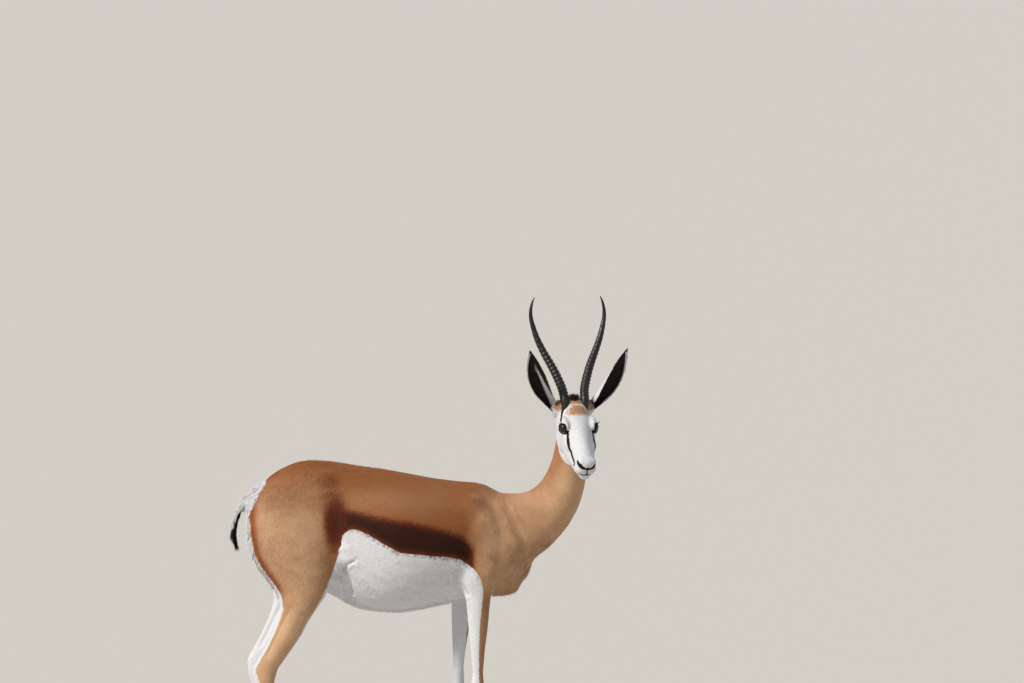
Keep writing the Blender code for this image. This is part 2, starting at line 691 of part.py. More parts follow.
def upright_axes():
    """Ahead and left of the turned head, level with the floor."""
    ahead = Vector((math.sin(HEAD_YAW), -math.cos(HEAD_YAW), 0.0))
    return ahead, Vector((math.cos(HEAD_YAW), math.sin(HEAD_YAW), 0.0))


def horn(name, side, group):
    """A slender ringed horn swept up, out and back, with a smooth tip."""
    ahead, left = upright_axes()
    foot = on_head(HORN_FOOT, side)
    rows = through(HORN_SWEEP, 12)
    last = len(rows) - 1
    ringed_from, ringed_to = 14, 72
    step = (ringed_to - ringed_from) / HORN_RINGS
    kept = [0, 6] + [round(ringed_from + step * (i / 2)) for i in range(2 * HORN_RINGS + 1)]
    kept += [78, 86, 94, 101, 107, 112, 116, last]
    spots = [
        foot + Vector((0, 0, up)) + left * (side * out) - ahead * back for up, out, back, _size in rows
    ]
    rings = []
    for order, index in enumerate(kept):
        along = (spots[min(index + 1, last)] - spots[max(index - 1, 0)]).normalized()
        across = (left - along * left.dot(along)).normalized()
        front = along.cross(across)
        radius = HORN_BASE_RADIUS * rows[index][3]
        if ringed_from <= index <= ringed_to:
            fade = 1 - 0.45 * index / ringed_to
            radius += HORN_RING_DEPTH * fade * (1 if order % 2 else -1)
        ring = []
        for angle in turns(8):
            around = across * math.cos(angle) * 0.94 + front * math.sin(angle)
            ring.append(spots[index] + around * radius)
        rings.append(ring)
    return loft(name, rings, group)


def ear(name, side, group):
    """A cupped leaf: rolled to a stalk at its foot, open in the middle, pointed at the tip."""
    ahead, left = upright_axes()
    foot = on_head(EAR_FOOT, side)
    along = ahead * EAR_LINE.x + left * (side * EAR_LINE.y) + Vector((0, 0, EAR_LINE.z))
    along.normalize()
    looks = ahead * math.cos(EAR_OPENING) + left * (side * math.sin(EAR_OPENING))
    looks = (looks - along * looks.dot(along)).normalized()
    across = along.cross(looks)
    rings = []
    for part in EAR:
        reach = math.radians(part.span)
        half = EAR_HALF_WIDTH * part.width
        outer = half / math.sin(reach) if part.span < 90 else half
        wall = min(EAR_THICKNESS, outer * 0.7)
        middle = foot + along * (part.along * EAR_LENGTH)
        middle += looks * (outer + part.bow - EAR_HALF_WIDTH * 0.5)
        middle += left * (side * EAR_BOW * math.sin(math.pi * min(1.0, max(0.0, part.along))))
        ring = []
        for radius, order in ((outer, range(-3, 4)), (outer - wall, range(3, -4, -1))):
            for i in order:
                angle = reach * i / 3
                around = across * math.sin(angle) - looks * math.cos(angle)
                ring.append(middle + around * radius)
        rings.append(ring)
    return loft(name, rings, group)


def eyeball(name, side, radius, group):
    return ball(name, on_head(EYE_PLACE, side), (radius,) * 3, group, head_turn(), 14)


def grown(thing, by, group):
    """A copy whose surface stands further out."""
    shape = bmesh.new()
    shape.from_mesh(thing.data)
    bmesh.ops.recalc_face_normals(shape, faces=shape.faces)
    moves = [(v, v.normal * (by * v.calc_shell_factor())) for v in shape.verts]
    for v, move in moves:
        v.co += move
    return as_object(thing.name + "_grown", shape, group)


def largest_piece(thing):
    """Drops slivers left loose by a cut."""
    shape = bmesh.new()
    shape.from_mesh(thing.data)
    pieces = loose_pieces(shape)
    pieces.sort(key=lambda piece: sum(face.calc_area() for face in piece))
    for piece in pieces[:-1]:
        bmesh.ops.delete(shape, geom=list(piece), context="FACES")
    shape.to_mesh(thing.data)
    shape.free()


def fit_to_head(thing, head, helpers):
    """Ends a horn or ear where it meets the head, leaving the clearance between them."""
    combine(thing, grown(head, PART_GAP * 1.5, helpers), "DIFFERENCE")
    largest_piece(thing)


def recentre(parts):
    """Brings the middle of the outline over the origin, the soles staying on the floor."""
    spots = np.array([v.co for thing in parts for v in thing.data.vertices])
    middle = Vector((spots.min(axis=0) + spots.max(axis=0)) / 2)
    middle.z = 0.0
    for thing in parts:
        thing.data.transform(Matrix.Translation(-middle))


COLOURS = {
    "head": ((0.75, 0.73, 0.72), 0.85),
    "neck": ((0.42, 0.24, 0.12), 0.85),
    "trunk": ((0.36, 0.19, 0.09), 0.85),
    "tail": ((0.70, 0.68, 0.66), 0.85),
    "foreleg": ((0.70, 0.66, 0.62), 0.85),
    "hindleg": ((0.42, 0.25, 0.13), 0.85),
    "ear": ((0.30, 0.25, 0.21), 0.85),
    "eye": ((0.012, 0.007, 0.004), 0.12),
    "horn": ((0.022, 0.018, 0.016), 0.45),
    "hoof": ((0.025, 0.021, 0.018), 0.50),
}


def finish(thing, parts):
    """Gives a part its colour and shading, and puts it with the other parts."""
    for group in list(thing.users_collection):
        group.objects.unlink(thing)
    parts.objects.link(thing)
    colour, roughness = COLOURS[thing.name.split("_")[0]]
    thing.data.materials.clear()
    thing.data.materials.append(make_material(thing.name + "_surface", colour, roughness))
    thing.vertex_groups.clear()
    thing.data.shade_smooth()
    thing.data.set_sharp_from_angle(angle=math.radians(42))


def main():
    clear_scene()
    helpers = make_collection("helpers")
    parts = make_collection("springbok")
    body = body_form(helpers)
    thin(body)
    made = list(part_body(body, helpers).values())
    head = next(thing for thing in made if thing.name == "head")
    for side, name in ((-1, "right"), (1, "left")):
        made.append(eyeball("eye_" + name, side, EYE_RADIUS, helpers))
        combine(head, eyeball("socket", side, EYE_RADIUS + PART_GAP * 1.5, helpers), "DIFFERENCE")
    for side, name in ((-1, "right"), (1, "left")):
        for kind, build in (("horn", horn), ("ear", ear)):
            thing = build(f"{kind}_{name}", side, helpers)
            fit_to_head(thing, head, helpers)
            made.append(thing)
        for leg, foot in zip(("fore", "hind"), foot_places(side)):
            for half, outward in (("outer", side), ("inner", -side)):
                made.append(claw(f"hoof_{leg}_{name}_{half}", foot, outward, helpers))
    recentre(made)
    for thing in made:
        finish(thing, parts)


main()
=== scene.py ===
"""Looks of a life-size springbok ewe: one skin with its coat, eyes, horns, hooves and a plain studio.

Metres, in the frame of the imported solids: +X to the animal's front, +Y to her left, +Z up.
"""

import math
from collections import namedtuple

import bmesh
import bpy
import numpy as np
from bpy.props import FloatProperty, FloatVectorProperty, IntProperty, PointerProperty
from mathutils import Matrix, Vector
from mathutils.bvhtree import BVHTree


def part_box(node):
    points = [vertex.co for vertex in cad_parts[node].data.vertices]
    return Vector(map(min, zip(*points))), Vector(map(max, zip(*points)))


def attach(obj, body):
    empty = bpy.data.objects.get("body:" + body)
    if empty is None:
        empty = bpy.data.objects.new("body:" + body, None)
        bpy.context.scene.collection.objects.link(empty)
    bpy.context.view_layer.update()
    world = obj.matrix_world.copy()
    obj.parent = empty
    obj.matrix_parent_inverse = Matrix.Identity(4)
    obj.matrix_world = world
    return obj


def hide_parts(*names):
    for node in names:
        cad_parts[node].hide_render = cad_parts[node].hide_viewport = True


bl_info = {
    "name": "Springbok ewe",
    "version": (1, 0, 0),
    "blender": (4, 5, 0),
    "location": "3D View > Sidebar > Springbok",
    "description": "Builds the looks of a life-size springbok around its solids",
    "category": "Add Mesh",
}

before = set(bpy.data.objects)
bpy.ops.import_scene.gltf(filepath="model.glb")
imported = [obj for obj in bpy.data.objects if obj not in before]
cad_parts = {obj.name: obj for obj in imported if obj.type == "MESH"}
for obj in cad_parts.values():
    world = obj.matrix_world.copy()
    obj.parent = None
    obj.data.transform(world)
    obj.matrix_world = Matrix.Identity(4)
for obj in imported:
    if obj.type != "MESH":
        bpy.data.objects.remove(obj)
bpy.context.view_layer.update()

FLESH = ("head", "neck", "trunk", "tail", "foreleg_left", "foreleg_right", "hindleg_left", "hindleg_right")
EARS = ("ear_left", "ear_right")
SIDES = ((-1, "right"), (1, "left"))
SEED = 11
NOWHERE = -1.0


def middle_of(node):
    low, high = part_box(node)
    return (low + high) / 2


# The body's own middle plane, and how far the left legs stand back; the foreleg's step shrinks upwards
MID_Y = (middle_of("hoof_fore_left_outer").y + middle_of("hoof_fore_right_outer").y) / 2
FAR_FORE_BACKSTEP = 0.055
FAR_FORE_RETURN = 0.030
FAR_HIND_BACKSTEP = 0.022
SHOULDER_Z = 0.60
HIND_STEP_Z = (0.62, 0.45)
# and where on the flesh the legs' steps start and are full
FORE_STEP_X, FORE_STEP_Z = (-0.06, 0.02), (0.62, 0.50)
HIND_STEP_X = (-0.16, -0.26)

# The turned head's own frame: forward, left and up from between the eyes
EYES = {side: middle_of("eye_" + name) for side, name in SIDES}
EYES_MIDDLE = (EYES[-1] + EYES[1]) / 2
EYE_RADIUS = (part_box("eye_right")[1].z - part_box("eye_right")[0].z) / 2
HEAD_PITCH = math.radians(27)
LEFT = (EYES[1] - EYES[-1]).normalized()
AHEAD = Vector((LEFT.y, -LEFT.x, 0.0))
FORWARD = AHEAD * math.cos(HEAD_PITCH) - Vector((0, 0, math.sin(HEAD_PITCH)))
UP = FORWARD.cross(LEFT)

LEFT_ARRAY = np.array(LEFT)

EarSlice = namedtuple("EarSlice", "along width span bow")
Crease = namedtuple("Crease", "line width depth")
Zone = namedtuple("Zone", "density length width lift")
Fringe = namedtuple("Fringe", "slot density length width lift droop lean paint", defaults=((0.0, 0.0), ()))

# The ear: where it stands on the head, and its cupped leaf from the rolled foot to the tip
EAR_FOOT = (-0.072, 0.0440, 0.009)
EAR_LINE = Vector((0.063, 0.079, 0.148))
EAR_LENGTH = 0.181
EAR_BOW = 0.011
EAR_HALF_WIDTH = 0.0245
EAR_SET_BACK = EAR_HALF_WIDTH / 2
EAR_WALL = 0.0034
EAR_OPENING = math.radians(27)
EAR = [
    EarSlice(-0.12, 0.44, 150, 0.000),
    EarSlice(0.00, 0.49, 146, 0.000),
    EarSlice(0.09, 0.58, 132, 0.000),
    EarSlice(0.20, 0.72, 112, 0.000),
    EarSlice(0.33, 0.92, 92, -0.001),
    EarSlice(0.47, 1.00, 78, -0.002),
    EarSlice(0.62, 0.92, 68, -0.002),
    EarSlice(0.76, 0.70, 62, 0.000),
    EarSlice(0.88, 0.42, 60, 0.003),
    EarSlice(0.96, 0.20, 60, 0.006),
    EarSlice(1.00, 0.07, 60, 0.008),
]

# Pale streak inside each ear: its middle from edge to edge, and its half width along the ear
EAR_STREAK = {
    -1: (0.18, [(0.0, 0.50), (0.15, 0.26), (0.35, 0.13), (0.60, 0.07), (0.72, -0.05)]),
    1: (0.70, [(0.0, 0.60), (0.20, 0.42), (0.45, 0.30), (0.66, -0.05)]),
}
# Rows of longer hair inside each ear: its place from edge to edge, and where it starts and ends along it
EAR_HAIR = {
    -1: ((0.16, 0.02, 0.66), (0.30, 0.02, 0.36)),
    1: ((0.72, 0.02, 0.62), (0.48, 0.02, 0.45)),
}
# Black of the ear's tip and foot and white of its back, as shares of its length, and its pale edge
EAR_TIP_BLACK = 0.78
EAR_FOOT_BLACK = 0.12
EAR_BACK_WHITE = 0.66
EAR_EDGE = (0.15, 0.94)
EAR_EDGE_WIDTH = 0.0030

# The eye: the ways to its front and to its inner corner as forward, out, up, and the opening of its lids
GAZE = (0.52, 0.85, 0.10)
EYE_CORNER = (0.80, -0.48, -0.42)
EYE_HALF_LENGTH = math.radians(55)
EYE_HALF_HEIGHT = math.radians(37)
EYE_ROUNDNESS = 0.35
EYE_REACH = 0.034

# The horn's sweep from its foot: up, out and back, and its radius as a share of the base's
HORN_FOOT = (-0.060, 0.0246, 0.034)
HORN_BASE_RADIUS = 0.0116
HORN_SWEEP = [
    (-0.034, -0.003, 0.004, 1.00),
    (0.000, 0.000, 0.000, 1.00),
    (0.030, 0.003, 0.014, 0.99),
    (0.061, 0.013, 0.028, 0.96),
    (0.091, 0.026, 0.042, 0.90),
    (0.121, 0.041, 0.054, 0.80),
    (0.155, 0.0555, 0.063, 0.67),
    (0.193, 0.066, 0.070, 0.50),
    (0.217, 0.068, 0.073, 0.38),
    (0.239, 0.064, 0.074, 0.25),
    (0.253, 0.058, 0.074, 0.09),
]

# Edges of the markings seen from the right side, as (x, z)
STRIPE_TOP = [
    (-0.30, 0.715), (-0.245, 0.695), (-0.2005, 0.6826), (-0.1276, 0.6645), (-0.0425, 0.652),
    (0.0426, 0.632), (0.088, 0.615), (0.108, 0.588),
]
STRIPE_LOW = [
    (-0.2143, 0.585), (-0.2095, 0.610), (-0.2035, 0.6235), (-0.188, 0.6315), (-0.170, 0.6315),
    (-0.1519, 0.6249), (-0.1276, 0.6097), (-0.0972, 0.5923), (-0.0667, 0.577), (-0.0181, 0.571),
    (0.0548, 0.563), (0.0815, 0.5557), (0.1156, 0.5301), (0.1338, 0.5027), (0.160, 0.470),
]
# and as (z, x), from the floor up
FORELEG_BORDER = [(0.03, 0.146), (0.10, 0.130), (0.26, 0.1250), (0.323, 0.1246), (0.40, 0.1272),
                  (0.48, 0.1358), (0.50, 0.134), (0.52, 0.20)]
THIGH_FRONT = [(0.24, -0.30), (0.27, -0.368), (0.305, -0.352), (0.335, -0.334), (0.37, -0.312),
               (0.403, -0.296), (0.435, -0.275), (0.4754, -0.2535), (0.505, -0.2415), (0.530, -0.2330),
               (0.552, -0.2245), (0.572, -0.2175), (0.60, -0.2143), (0.63, -0.2143)]
RUMP_BORDER = [
    (0.03, -0.372), (0.10, -0.396), (0.17, -0.399), (0.215, -0.402), (0.24, -0.408), (0.262, -0.420),
    (0.286, -0.426), (0.305, -0.4155), (0.335, -0.3975), (0.37, -0.3805), (0.403, -0.3670),
    (0.435, -0.3575), (0.475, -0.3614), (0.504, -0.3809), (0.536, -0.4053), (0.575, -0.4248),
    (0.6187, -0.4322), (0.661, -0.4363), (0.698, -0.4354), (0.734, -0.4255), (0.760, -0.385),
]
# and as (z, distance from the middle): the rump patch narrows upwards into the fold along the back
RUMP_HALF_WIDTH = [(0.600, 0.200), (0.640, 0.088), (0.680, 0.080), (0.712, 0.060), (0.735, 0.034),
                   (0.752, 0.000), (0.770, -0.02)]
# and as (x, half width): the white line of the fold
FOLD_HALF_WIDTH = [(-0.43, 0.022), (-0.39, 0.008), (-0.34, 0.0035), (-0.15, 0.0025), (-0.07, 0.0)]
# and as (z, x): the middle of the tail
TAIL_MIDDLE = [(0.578, -0.470), (0.630, -0.476), (0.680, -0.458)]

# Limits of the white patches, and how far the surface faces inwards or down where it is white
RUMP_X = -0.33
REAR_X = -0.28
REAR_Z = (0.40, 0.77)
REAR_HALF_WIDTH = 0.064
REAR_FACING = 0.35
HIND_X = -0.20
HIND_TOP = 0.56
HIND_INWARD = 0.22
SHIN_Z = (0.26, 0.57)
FORE_X = -0.05
FORE_TOP = 0.47
FORE_INWARD = 0.30
FORE_MARGIN = 0.012
UNDER_X = (-0.42, 0.16)
UNDER_TOP = 0.55
UNDER_DOWN = 0.55
FOLD_X = -0.07
FOLD_Z = 0.70
# How much further forward the white reaches on the foreleg's inner side, and behind the lower thigh
FORE_WRAP, FORE_WRAP_FACING = 0.008, (0.0, 0.5)
RUMP_WIDENING, RUMP_WIDENING_Z = 0.004, (0.50, 0.44)
# Metres that a turn of the surface counts for in a field
TURN = 0.03

# Ends of the flank stripe, and the oval into which it widens under the thigh, which is painted shade on the
# thigh's front
STRIPE_FRONT = 0.112
STRIPE_REAR = -0.226
STRIPE_REAR_SLOPE = 0.35
PAINTED_SHADE_LOBE_MIDDLE = (-0.222, 0.645)
PAINTED_SHADE_LOBE_HALF = (0.050, 0.118)
PAINTED_SHADE_LOBE_FIELD = (-0.008, 0.0195)
# Painted shade on the front of the thigh, darker where the surface faces outwards: its oval, and where it
# starts and is full in the oval and by its facing
THIGH_PAINTED_SHADE_MIDDLE = (-0.224, 0.645)
THIGH_PAINTED_SHADE_HALF = (0.036, 0.100)
THIGH_PAINTED_SHADE_RISE = (1.0, 0.15)
THIGH_PAINTED_SHADE_FACING = (0.1, 0.6)
# Where the neck's colour starts, as (x, z), and the way in which it grows
NECK_FOOT = (0.2150, 0.640)
NECK_RISE = (0.924, 0.383)
# The tail: the top of its black tuft, and of the black line down its front, which narrows upwards
TAIL_TUFT_Z = 0.622
TAIL_LINE_Z = 0.672
TAIL_LINE_SET_FORWARD = 0.006
TAIL_LINE_TAPER, TAIL_LINE_TAPER_Z = 0.10, 0.62
# Tones, 0 to 1: the most of each, and where it starts and is full along x and z
RUST_MIDDLE, RUST_WIDTH = 0.007, 0.011
RUST_X, RUST_Z = (-0.33, -0.37), (0.42, 0.50)
CROWN_RUST = 0.25
THIGH_TAN, THIGH_TAN_X, THIGH_TAN_Z = 0.85, (-0.20, -0.30), (0.79, 0.62)
SHOULDER_TAN, SHOULDER_TAN_X, SHOULDER_TAN_Z = 0.85, (0.08, 0.17), (0.80, 0.63)
# the flank's band is a painted highlight: lighter tan along the flank above the stripe
FLANK_PAINTED_HIGHLIGHT, FLANK_HIGHLIGHT_X, FLANK_HIGHLIGHT_MIDDLE_Z, FLANK_HIGHLIGHT_HALF = 0.22, (0.15, -0.05), 0.700, 0.050
FORELEG_FAWN, FORELEG_X, FORELEG_Z = 0.55, (0.0, 0.05), (0.50, 0.44)
HEAD_TAN = 0.75
# and on the neck: its own start, its front and its darker nape, which also needs to face backwards
NECK_START = (-0.055, 0.060)
NECK_TAN, NECK_FRONT_TAN = 0.66, 0.34
NECK_FRONT, NECK_FRONT_Z = (0.02, 0.14), (0.86, 0.70)
NAPE_FAWN, NAPE_FACING, NAPE_FOOT_Z, NAPE_TOP_Z = 0.6, (-0.15, -0.75), (0.66, 0.72), (0.90, 0.84)

# Lines of the face in the head's frame: forward, out, up
FACE_STRIPE = [(0.012, 0.0360, 0.000), (0.0221, 0.0364, -0.006), (0.0495, 0.0357, -0.0230),
               (0.066, 0.0320, -0.036), (0.0848, 0.0267, -0.0445), (0.0880, 0.0260, -0.052)]
BROW_LINE = [(-0.010, 0.046, 0.012), (-0.017, 0.044, 0.015), (-0.039, 0.0365, 0.009),
             (-0.0445, 0.034, 0.014), (-0.048, 0.032, 0.022)]
NOSTRIL = [(0.1080, 0.0195, -0.0350), (0.1130, 0.0155, -0.0385), (0.1170, 0.0100, -0.0415)]
NOSE_BASE = [(0.1170, 0.0100, -0.0420), (0.1215, 0.0040, -0.0445), (0.1230, 0.0000, -0.0450)]
PHILTRUM = [(0.1240, 0.0, -0.0400), (0.1200, 0.0, -0.0610)]
MOUTH = [(0.1170, 0.0, -0.0630), (0.1080, 0.0120, -0.0635), (0.0920, 0.0195, -0.0610),
         (0.0780, 0.0240, -0.0575)]
# and as (up, forward): the rear edge of the white
FACE_REAR = [(-0.09, -0.075), (-0.04, -0.090), (0.0, -0.092), (0.015, -0.083), (0.03, -0.055),
             (0.05, -0.040)]
# Half widths of the dark lines, and what each gains or loses along its length
STRIPE_HALF, STRIPE_SWELL = 0.0026, 0.0010
BROW_HALF, BROW_TAPER = 0.0060, 0.0016
NOSTRIL_HALF, NOSTRIL_TAPER = 0.0062, 0.0016
NOSE_HALF = 0.0036
PHILTRUM_HALF = 0.0017
MOUTH_HALF, MOUTH_TAPER = 0.0030, 0.0014
# Dark ring round the eye, as a share of the lids' opening, and how much wider it is above
EYE_RING, EYE_RING_ABOVE = 1.36, 0.34
# Places on the head, also as forward, out, up
SKULL = (0.02, 0, -0.025)
FACE_MIDDLE = (0.0, 0.0, -0.035)
FACE_RADIUS = 0.104
POLL = (-0.066, 0.0, 0.046)
POLL_HAIR = (-0.067, 0.0, 0.046)
POLL_STRETCH = (1, 0.7, 1)
POLL_RADIUS = 0.0105
FAWN_SPOT = (-0.0600, 0.0400, 0.0235)
FAWN_SPOT_RADIUS = 0.0115
FOREHEAD = (-0.0290, 0.0)
FOREHEAD_HALF = (0.0165, 0.0250)
FOREHEAD_LOW = 0.005
FOREHEAD_FIELD = 0.004
CROWN_REAR = -0.07
THROAT_TOP = (0.055, 0, -0.09)
# and the throat's white ends here, in the shared frame
THROAT_FOOT = (0.386, 0.012, 0.712)
THROAT_HALF, THROAT_TAPER = 0.034, 0.022
# Share of its slope that a soft edge of the white keeps
SOFT_EDGE = 0.5
# Lines of the face are laid this deep under the solid, in so many steps from point to point
FACE_LINE_DEPTH = 0.0014
FACE_LINE_STEPS = 6

# Folds and tendons seen from the right side, as (x, z)
CREASES = [
    Crease([(0.183, 0.716), (0.212, 0.655), (0.2348, 0.603), (0.247, 0.5615)], 0.0100, 0.0060),
    Crease([(-0.207, 0.524), (-0.197, 0.545), (-0.176, 0.557)], 0.0045, 0.0060),
    Crease([(-0.212, 0.540), (-0.197, 0.505), (-0.193, 0.480), (-0.190, 0.455)], 0.0080, 0.0150),
    Crease([(0.150, 0.700), (0.105, 0.640), (0.085, 0.575)], 0.0180, 0.0025),
    Crease([(0.062, 0.520), (0.082, 0.485), (0.098, 0.462)], 0.0080, 0.0040),
    Crease([(-0.336, 0.440), (-0.360, 0.392), (-0.383, 0.345), (-0.401, 0.312)], 0.0050, 0.0035),
    Crease([(-0.398, 0.225), (-0.3955, 0.130)], 0.0026, 0.0013),
    Crease([(0.1135, 0.205), (0.1125, 0.125)], 0.0026, 0.0013),
    Crease([(-0.245, 0.725), (-0.226, 0.650), (-0.216, 0.580)], 0.0210, 0.0075),
]
# Grooves of the face along its lines, and the swellings beside them: line, distance and height
GROOVES = [
    Crease("nostril", 0.0034, 0.0055), Crease("nose", 0.0022, 0.0012), Crease("philtrum", 0.0020, 0.0018),
    Crease("mouth", 0.0021, 0.0026), Crease("stripe", 0.0050, 0.0012),
]
SWELLINGS = (("nostril", 0.0065, 0.0014), ("mouth", 0.0055, 0.0010))
SWELLING_WIDTH = 0.0030


def linear(red, green, blue):
    """A colour given as it is seen, 0 to 255, for a shader."""
    return tuple(c / 12.92 if c < 0.04045 else ((c + 0.055) / 1.055) ** 2.4
                 for c in (red / 255, green / 255, blue / 255))


def colour(text, described, seen):
    return FloatVectorProperty(name=text, description=described, default=linear(*seen), size=3,
                               min=0.0, max=1.0, subtype="COLOR")


def size(text, described, metres):
    return FloatProperty(name=text, description=described, default=metres, min=0.0, unit="LENGTH",
                         subtype="DISTANCE", precision=5)


class SkinSettings(bpy.types.PropertyGroup):
    """How fine the skin is, and how deep it lies under the tips of the coat"""

    grid: size("Grid", "Spacing of the grid that joins the flesh into one skin", 0.0016)
    body_depth: size("Depth on the body", "Depth of the coat on the trunk, neck and thighs", 0.0018)
    leg_depth: size("Depth on the legs", "Depth of the coat below knee and hock", 0.0010)
    head_depth: size("Depth on the head", "Depth of the coat on the face", 0.0008)
    tail_depth: size("Depth on the tail", "Depth of the hair around the tail", 0.0045)
    triangles: IntProperty(name="Triangles", description="Triangles kept in the skin", default=186000,
                           min=20000, max=199000)


class MarkingSettings(bpy.types.PropertyGroup):
    """Colours of the coat"""

    fawn: colour("Fawn", "Back and flanks", (145, 91, 51))
    tan: colour("Tan", "Neck, thighs and the fronts of the legs", (207, 167, 129))
    rust: colour("Rust", "Edge of the rump patch and forehead", (140, 72, 34))
    # this colour also paints the shade on the thigh's front
    stripe_edge_and_thigh_shade: colour("Stripe edge", "Red-brown edge of the flank stripe", (98, 42, 18))
    stripe: colour("Flank stripe", "Middle of the flank stripe", (50, 19, 8))
    white: colour("White", "Face, belly, rump and inner legs", (219, 220, 222))
    black: colour("Black", "Face stripes, nose, tail tuft and ears", (22, 17, 16))


class CoatSettings(bpy.types.PropertyGroup):
    """Lengths of the hair"""

    body_length: size("Body hair", "Length of the tufts on the trunk and neck", 0.0125)
    leg_length: size("Leg hair", "Length of the tufts on the legs", 0.0065)
    face_length: size("Face hair", "Length of the tufts on the face", 0.0042)
    rump_length: size("Rump hair", "Length of the white hair round the tail", 0.021)
    fullness: FloatProperty(name="Fullness", description="Share of the tufts that are grown", default=1.0,
                            min=0.05, max=1.0)


class HornSettings(bpy.types.PropertyGroup):
    """The rings of the horns"""

    rings: IntProperty(name="Rings", description="Ridges round each horn", default=19, min=0, max=40)
    ring_depth: size("Ring depth", "How far a ridge stands out at the base", 0.0014)
    colour: colour("Horn", "Colour of the horn", (33, 28, 26))


class StageSettings(bpy.types.PropertyGroup):
    """Floor, light and camera"""

    floor: colour("Floor", "Colour of the floor", (208, 203, 195))
    key: FloatProperty(name="Key light", description="Strength of the soft sun", default=3.3, min=0.0)
    fill: FloatProperty(name="Fill light", description="Strength of the light from all round", default=0.40,
                        min=0.0)
    distance: size("Camera distance", "From the camera to the middle of the animal", 15.0)
    elevation: FloatProperty(name="Camera elevation", description="How steeply the camera looks down",
                             default=math.radians(5), subtype="ANGLE", unit="ROTATION")


def smooth(value, none, full):
    """0 at none, 1 at full, and an even curve in between."""
    share = np.clip((value - none) / (full - none), 0.0, 1.0)
    return share * share * (3 - 2 * share)


def leg_share(spots):
    """1 on the legs, 0 on the body above them."""
    return smooth(spots[:, 2], 0.50, 0.40)


def ear_share(spots):
    """1 at the height of the ears, 0 below them."""
    return smooth(spots[:, 2], 0.93, 0.95)


def along_line(value, line):
    """Reads the second column of a line at a value of its first."""
    line = np.array(line)
    return np.interp(value, line[:, 0], line[:, 1])


def line_distance(spots, line):
    """Distance of each spot to a line of points, and how far along the line it is, 0 to 1."""
    line = np.array(line, float)
    best = np.full(len(spots), 1e9)
    share = np.zeros(len(spots))
    for i, (a, b) in enumerate(zip(line, line[1:])):
        way = b - a
        t = np.clip(((spots - a) @ way) / max(way @ way, 1e-12), 0, 1)
        reach = np.linalg.norm(spots - a - t[:, None] * way, axis=1)
        nearer = reach < best
        best[nearer] = reach[nearer]
        share[nearer] = (i + t[nearer]) / (len(line) - 1)
    return best, share


def unit(vectors):
    return vectors / np.maximum(np.linalg.norm(vectors, axis=1, keepdims=True), 1e-12)


def across(first, second):
    return unit(np.cross(first, second))


def on_head(place, side=1):
    """A point given as forward, out, up in the head's frame; side -1 puts it on the right."""
    return EYES_MIDDLE + FORWARD * place[0] + LEFT * (place[1] * side) + UP * place[2]


def head_way(way, side):
    """A direction given as forward, out, up in the head's frame; side -1 turns it to the right."""
    return FORWARD * way[0] + LEFT * (way[1] * side) + UP * way[2]


def in_head(spots):
    """Forward, out from the middle, up in the head's frame."""
    axes = np.array([FORWARD, LEFT, UP])
    placed = (spots - np.array(EYES_MIDDLE)) @ axes.T
    placed[:, 1] = np.abs(placed[:, 1])
    return placed


def reach_from(spots, place, scale=1.0):
    """Distance of each spot from a place, with the axes scaled."""
    return np.linalg.norm((spots - np.array(place)) * scale, axis=1)


def between(values, low, high):
    return (values > low) & (values < high)


def within(mask, values):
    """A field inside a mask, and far below its edge outside it."""
    return np.where(mask, values, NOWHERE)


def oval(first, second, middle, half):
    """0 in the middle of an oval and 1 on its edge."""
    return np.hypot((first - middle[0]) / half[0], (second - middle[1]) / half[1])


def bell(values, middle, width):
    """1 at the middle, falling off evenly on both sides."""
    return np.exp(-(((values - middle) / width) ** 2))


def through(rows, steps):
    """Rows of numbers on a smooth Catmull-Rom curve through the given rows."""
    rows = np.array(rows, float)
    ends = np.vstack([2 * rows[0] - rows[1], rows, 2 * rows[-1] - rows[-2]])
    made = []
    for i in range(1, len(ends) - 2):
        a, b, c, d = ends[i - 1 : i + 3]
        for t in np.arange(steps) / steps:
            curve = 2 * b + (c - a) * t + (2 * a - 5 * b + 4 * c - d) * t * t
            made.append((curve + (3 * b - a - 3 * c + d) * t**3) / 2)
    made.append(rows[-1])
    return made


def tree_of(node):
    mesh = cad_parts[node].data
    faces = [tuple(face.vertices) for face in mesh.polygons]
    return BVHTree.FromPolygons([v.co for v in mesh.vertices], faces)


def on_face(line):
    """A line in the head's frame laid on the skin of the face."""
    laid = []
    tree = tree_of("head")
    for row in through(line, FACE_LINE_STEPS):
        spot, normal, _face, _reach = tree.find_nearest(on_head(row, -1))
        laid.append(spot - normal * FACE_LINE_DEPTH)
    return in_head(np.array(laid))


def far_fore_shift(z):
    """How far the left foreleg stands forward at a height; it is negative."""
    return -FAR_FORE_BACKSTEP + FAR_FORE_RETURN * (z / SHOULDER_Z) ** 2


def far_hind_shift(z):
    """How far the left hind leg stands forward at a height; it is negative."""
    return -FAR_HIND_BACKSTEP * smooth(z, *HIND_STEP_Z)


def as_right_side(spots):
    """x, distance from the middle plane and z, with the left legs brought level with the right."""
    x, z = spots[:, 0].copy(), spots[:, 2]
    aside = spots[:, 1] - MID_Y
    fore = far_fore_shift(z) * smooth(z, *FORE_STEP_Z) * smooth(x, *FORE_STEP_X)
    hind = far_hind_shift(z) * smooth(x, *HIND_STEP_X)
    x -= np.where(aside > 0, fore + hind, 0.0)
    return np.stack([x, np.abs(aside), z], axis=1)


def outward_of(spots, normals):
    """How far the surface faces away from the middle plane, -1 to 1."""
    return normals[:, 1] * np.sign(spots[:, 1] - MID_Y)


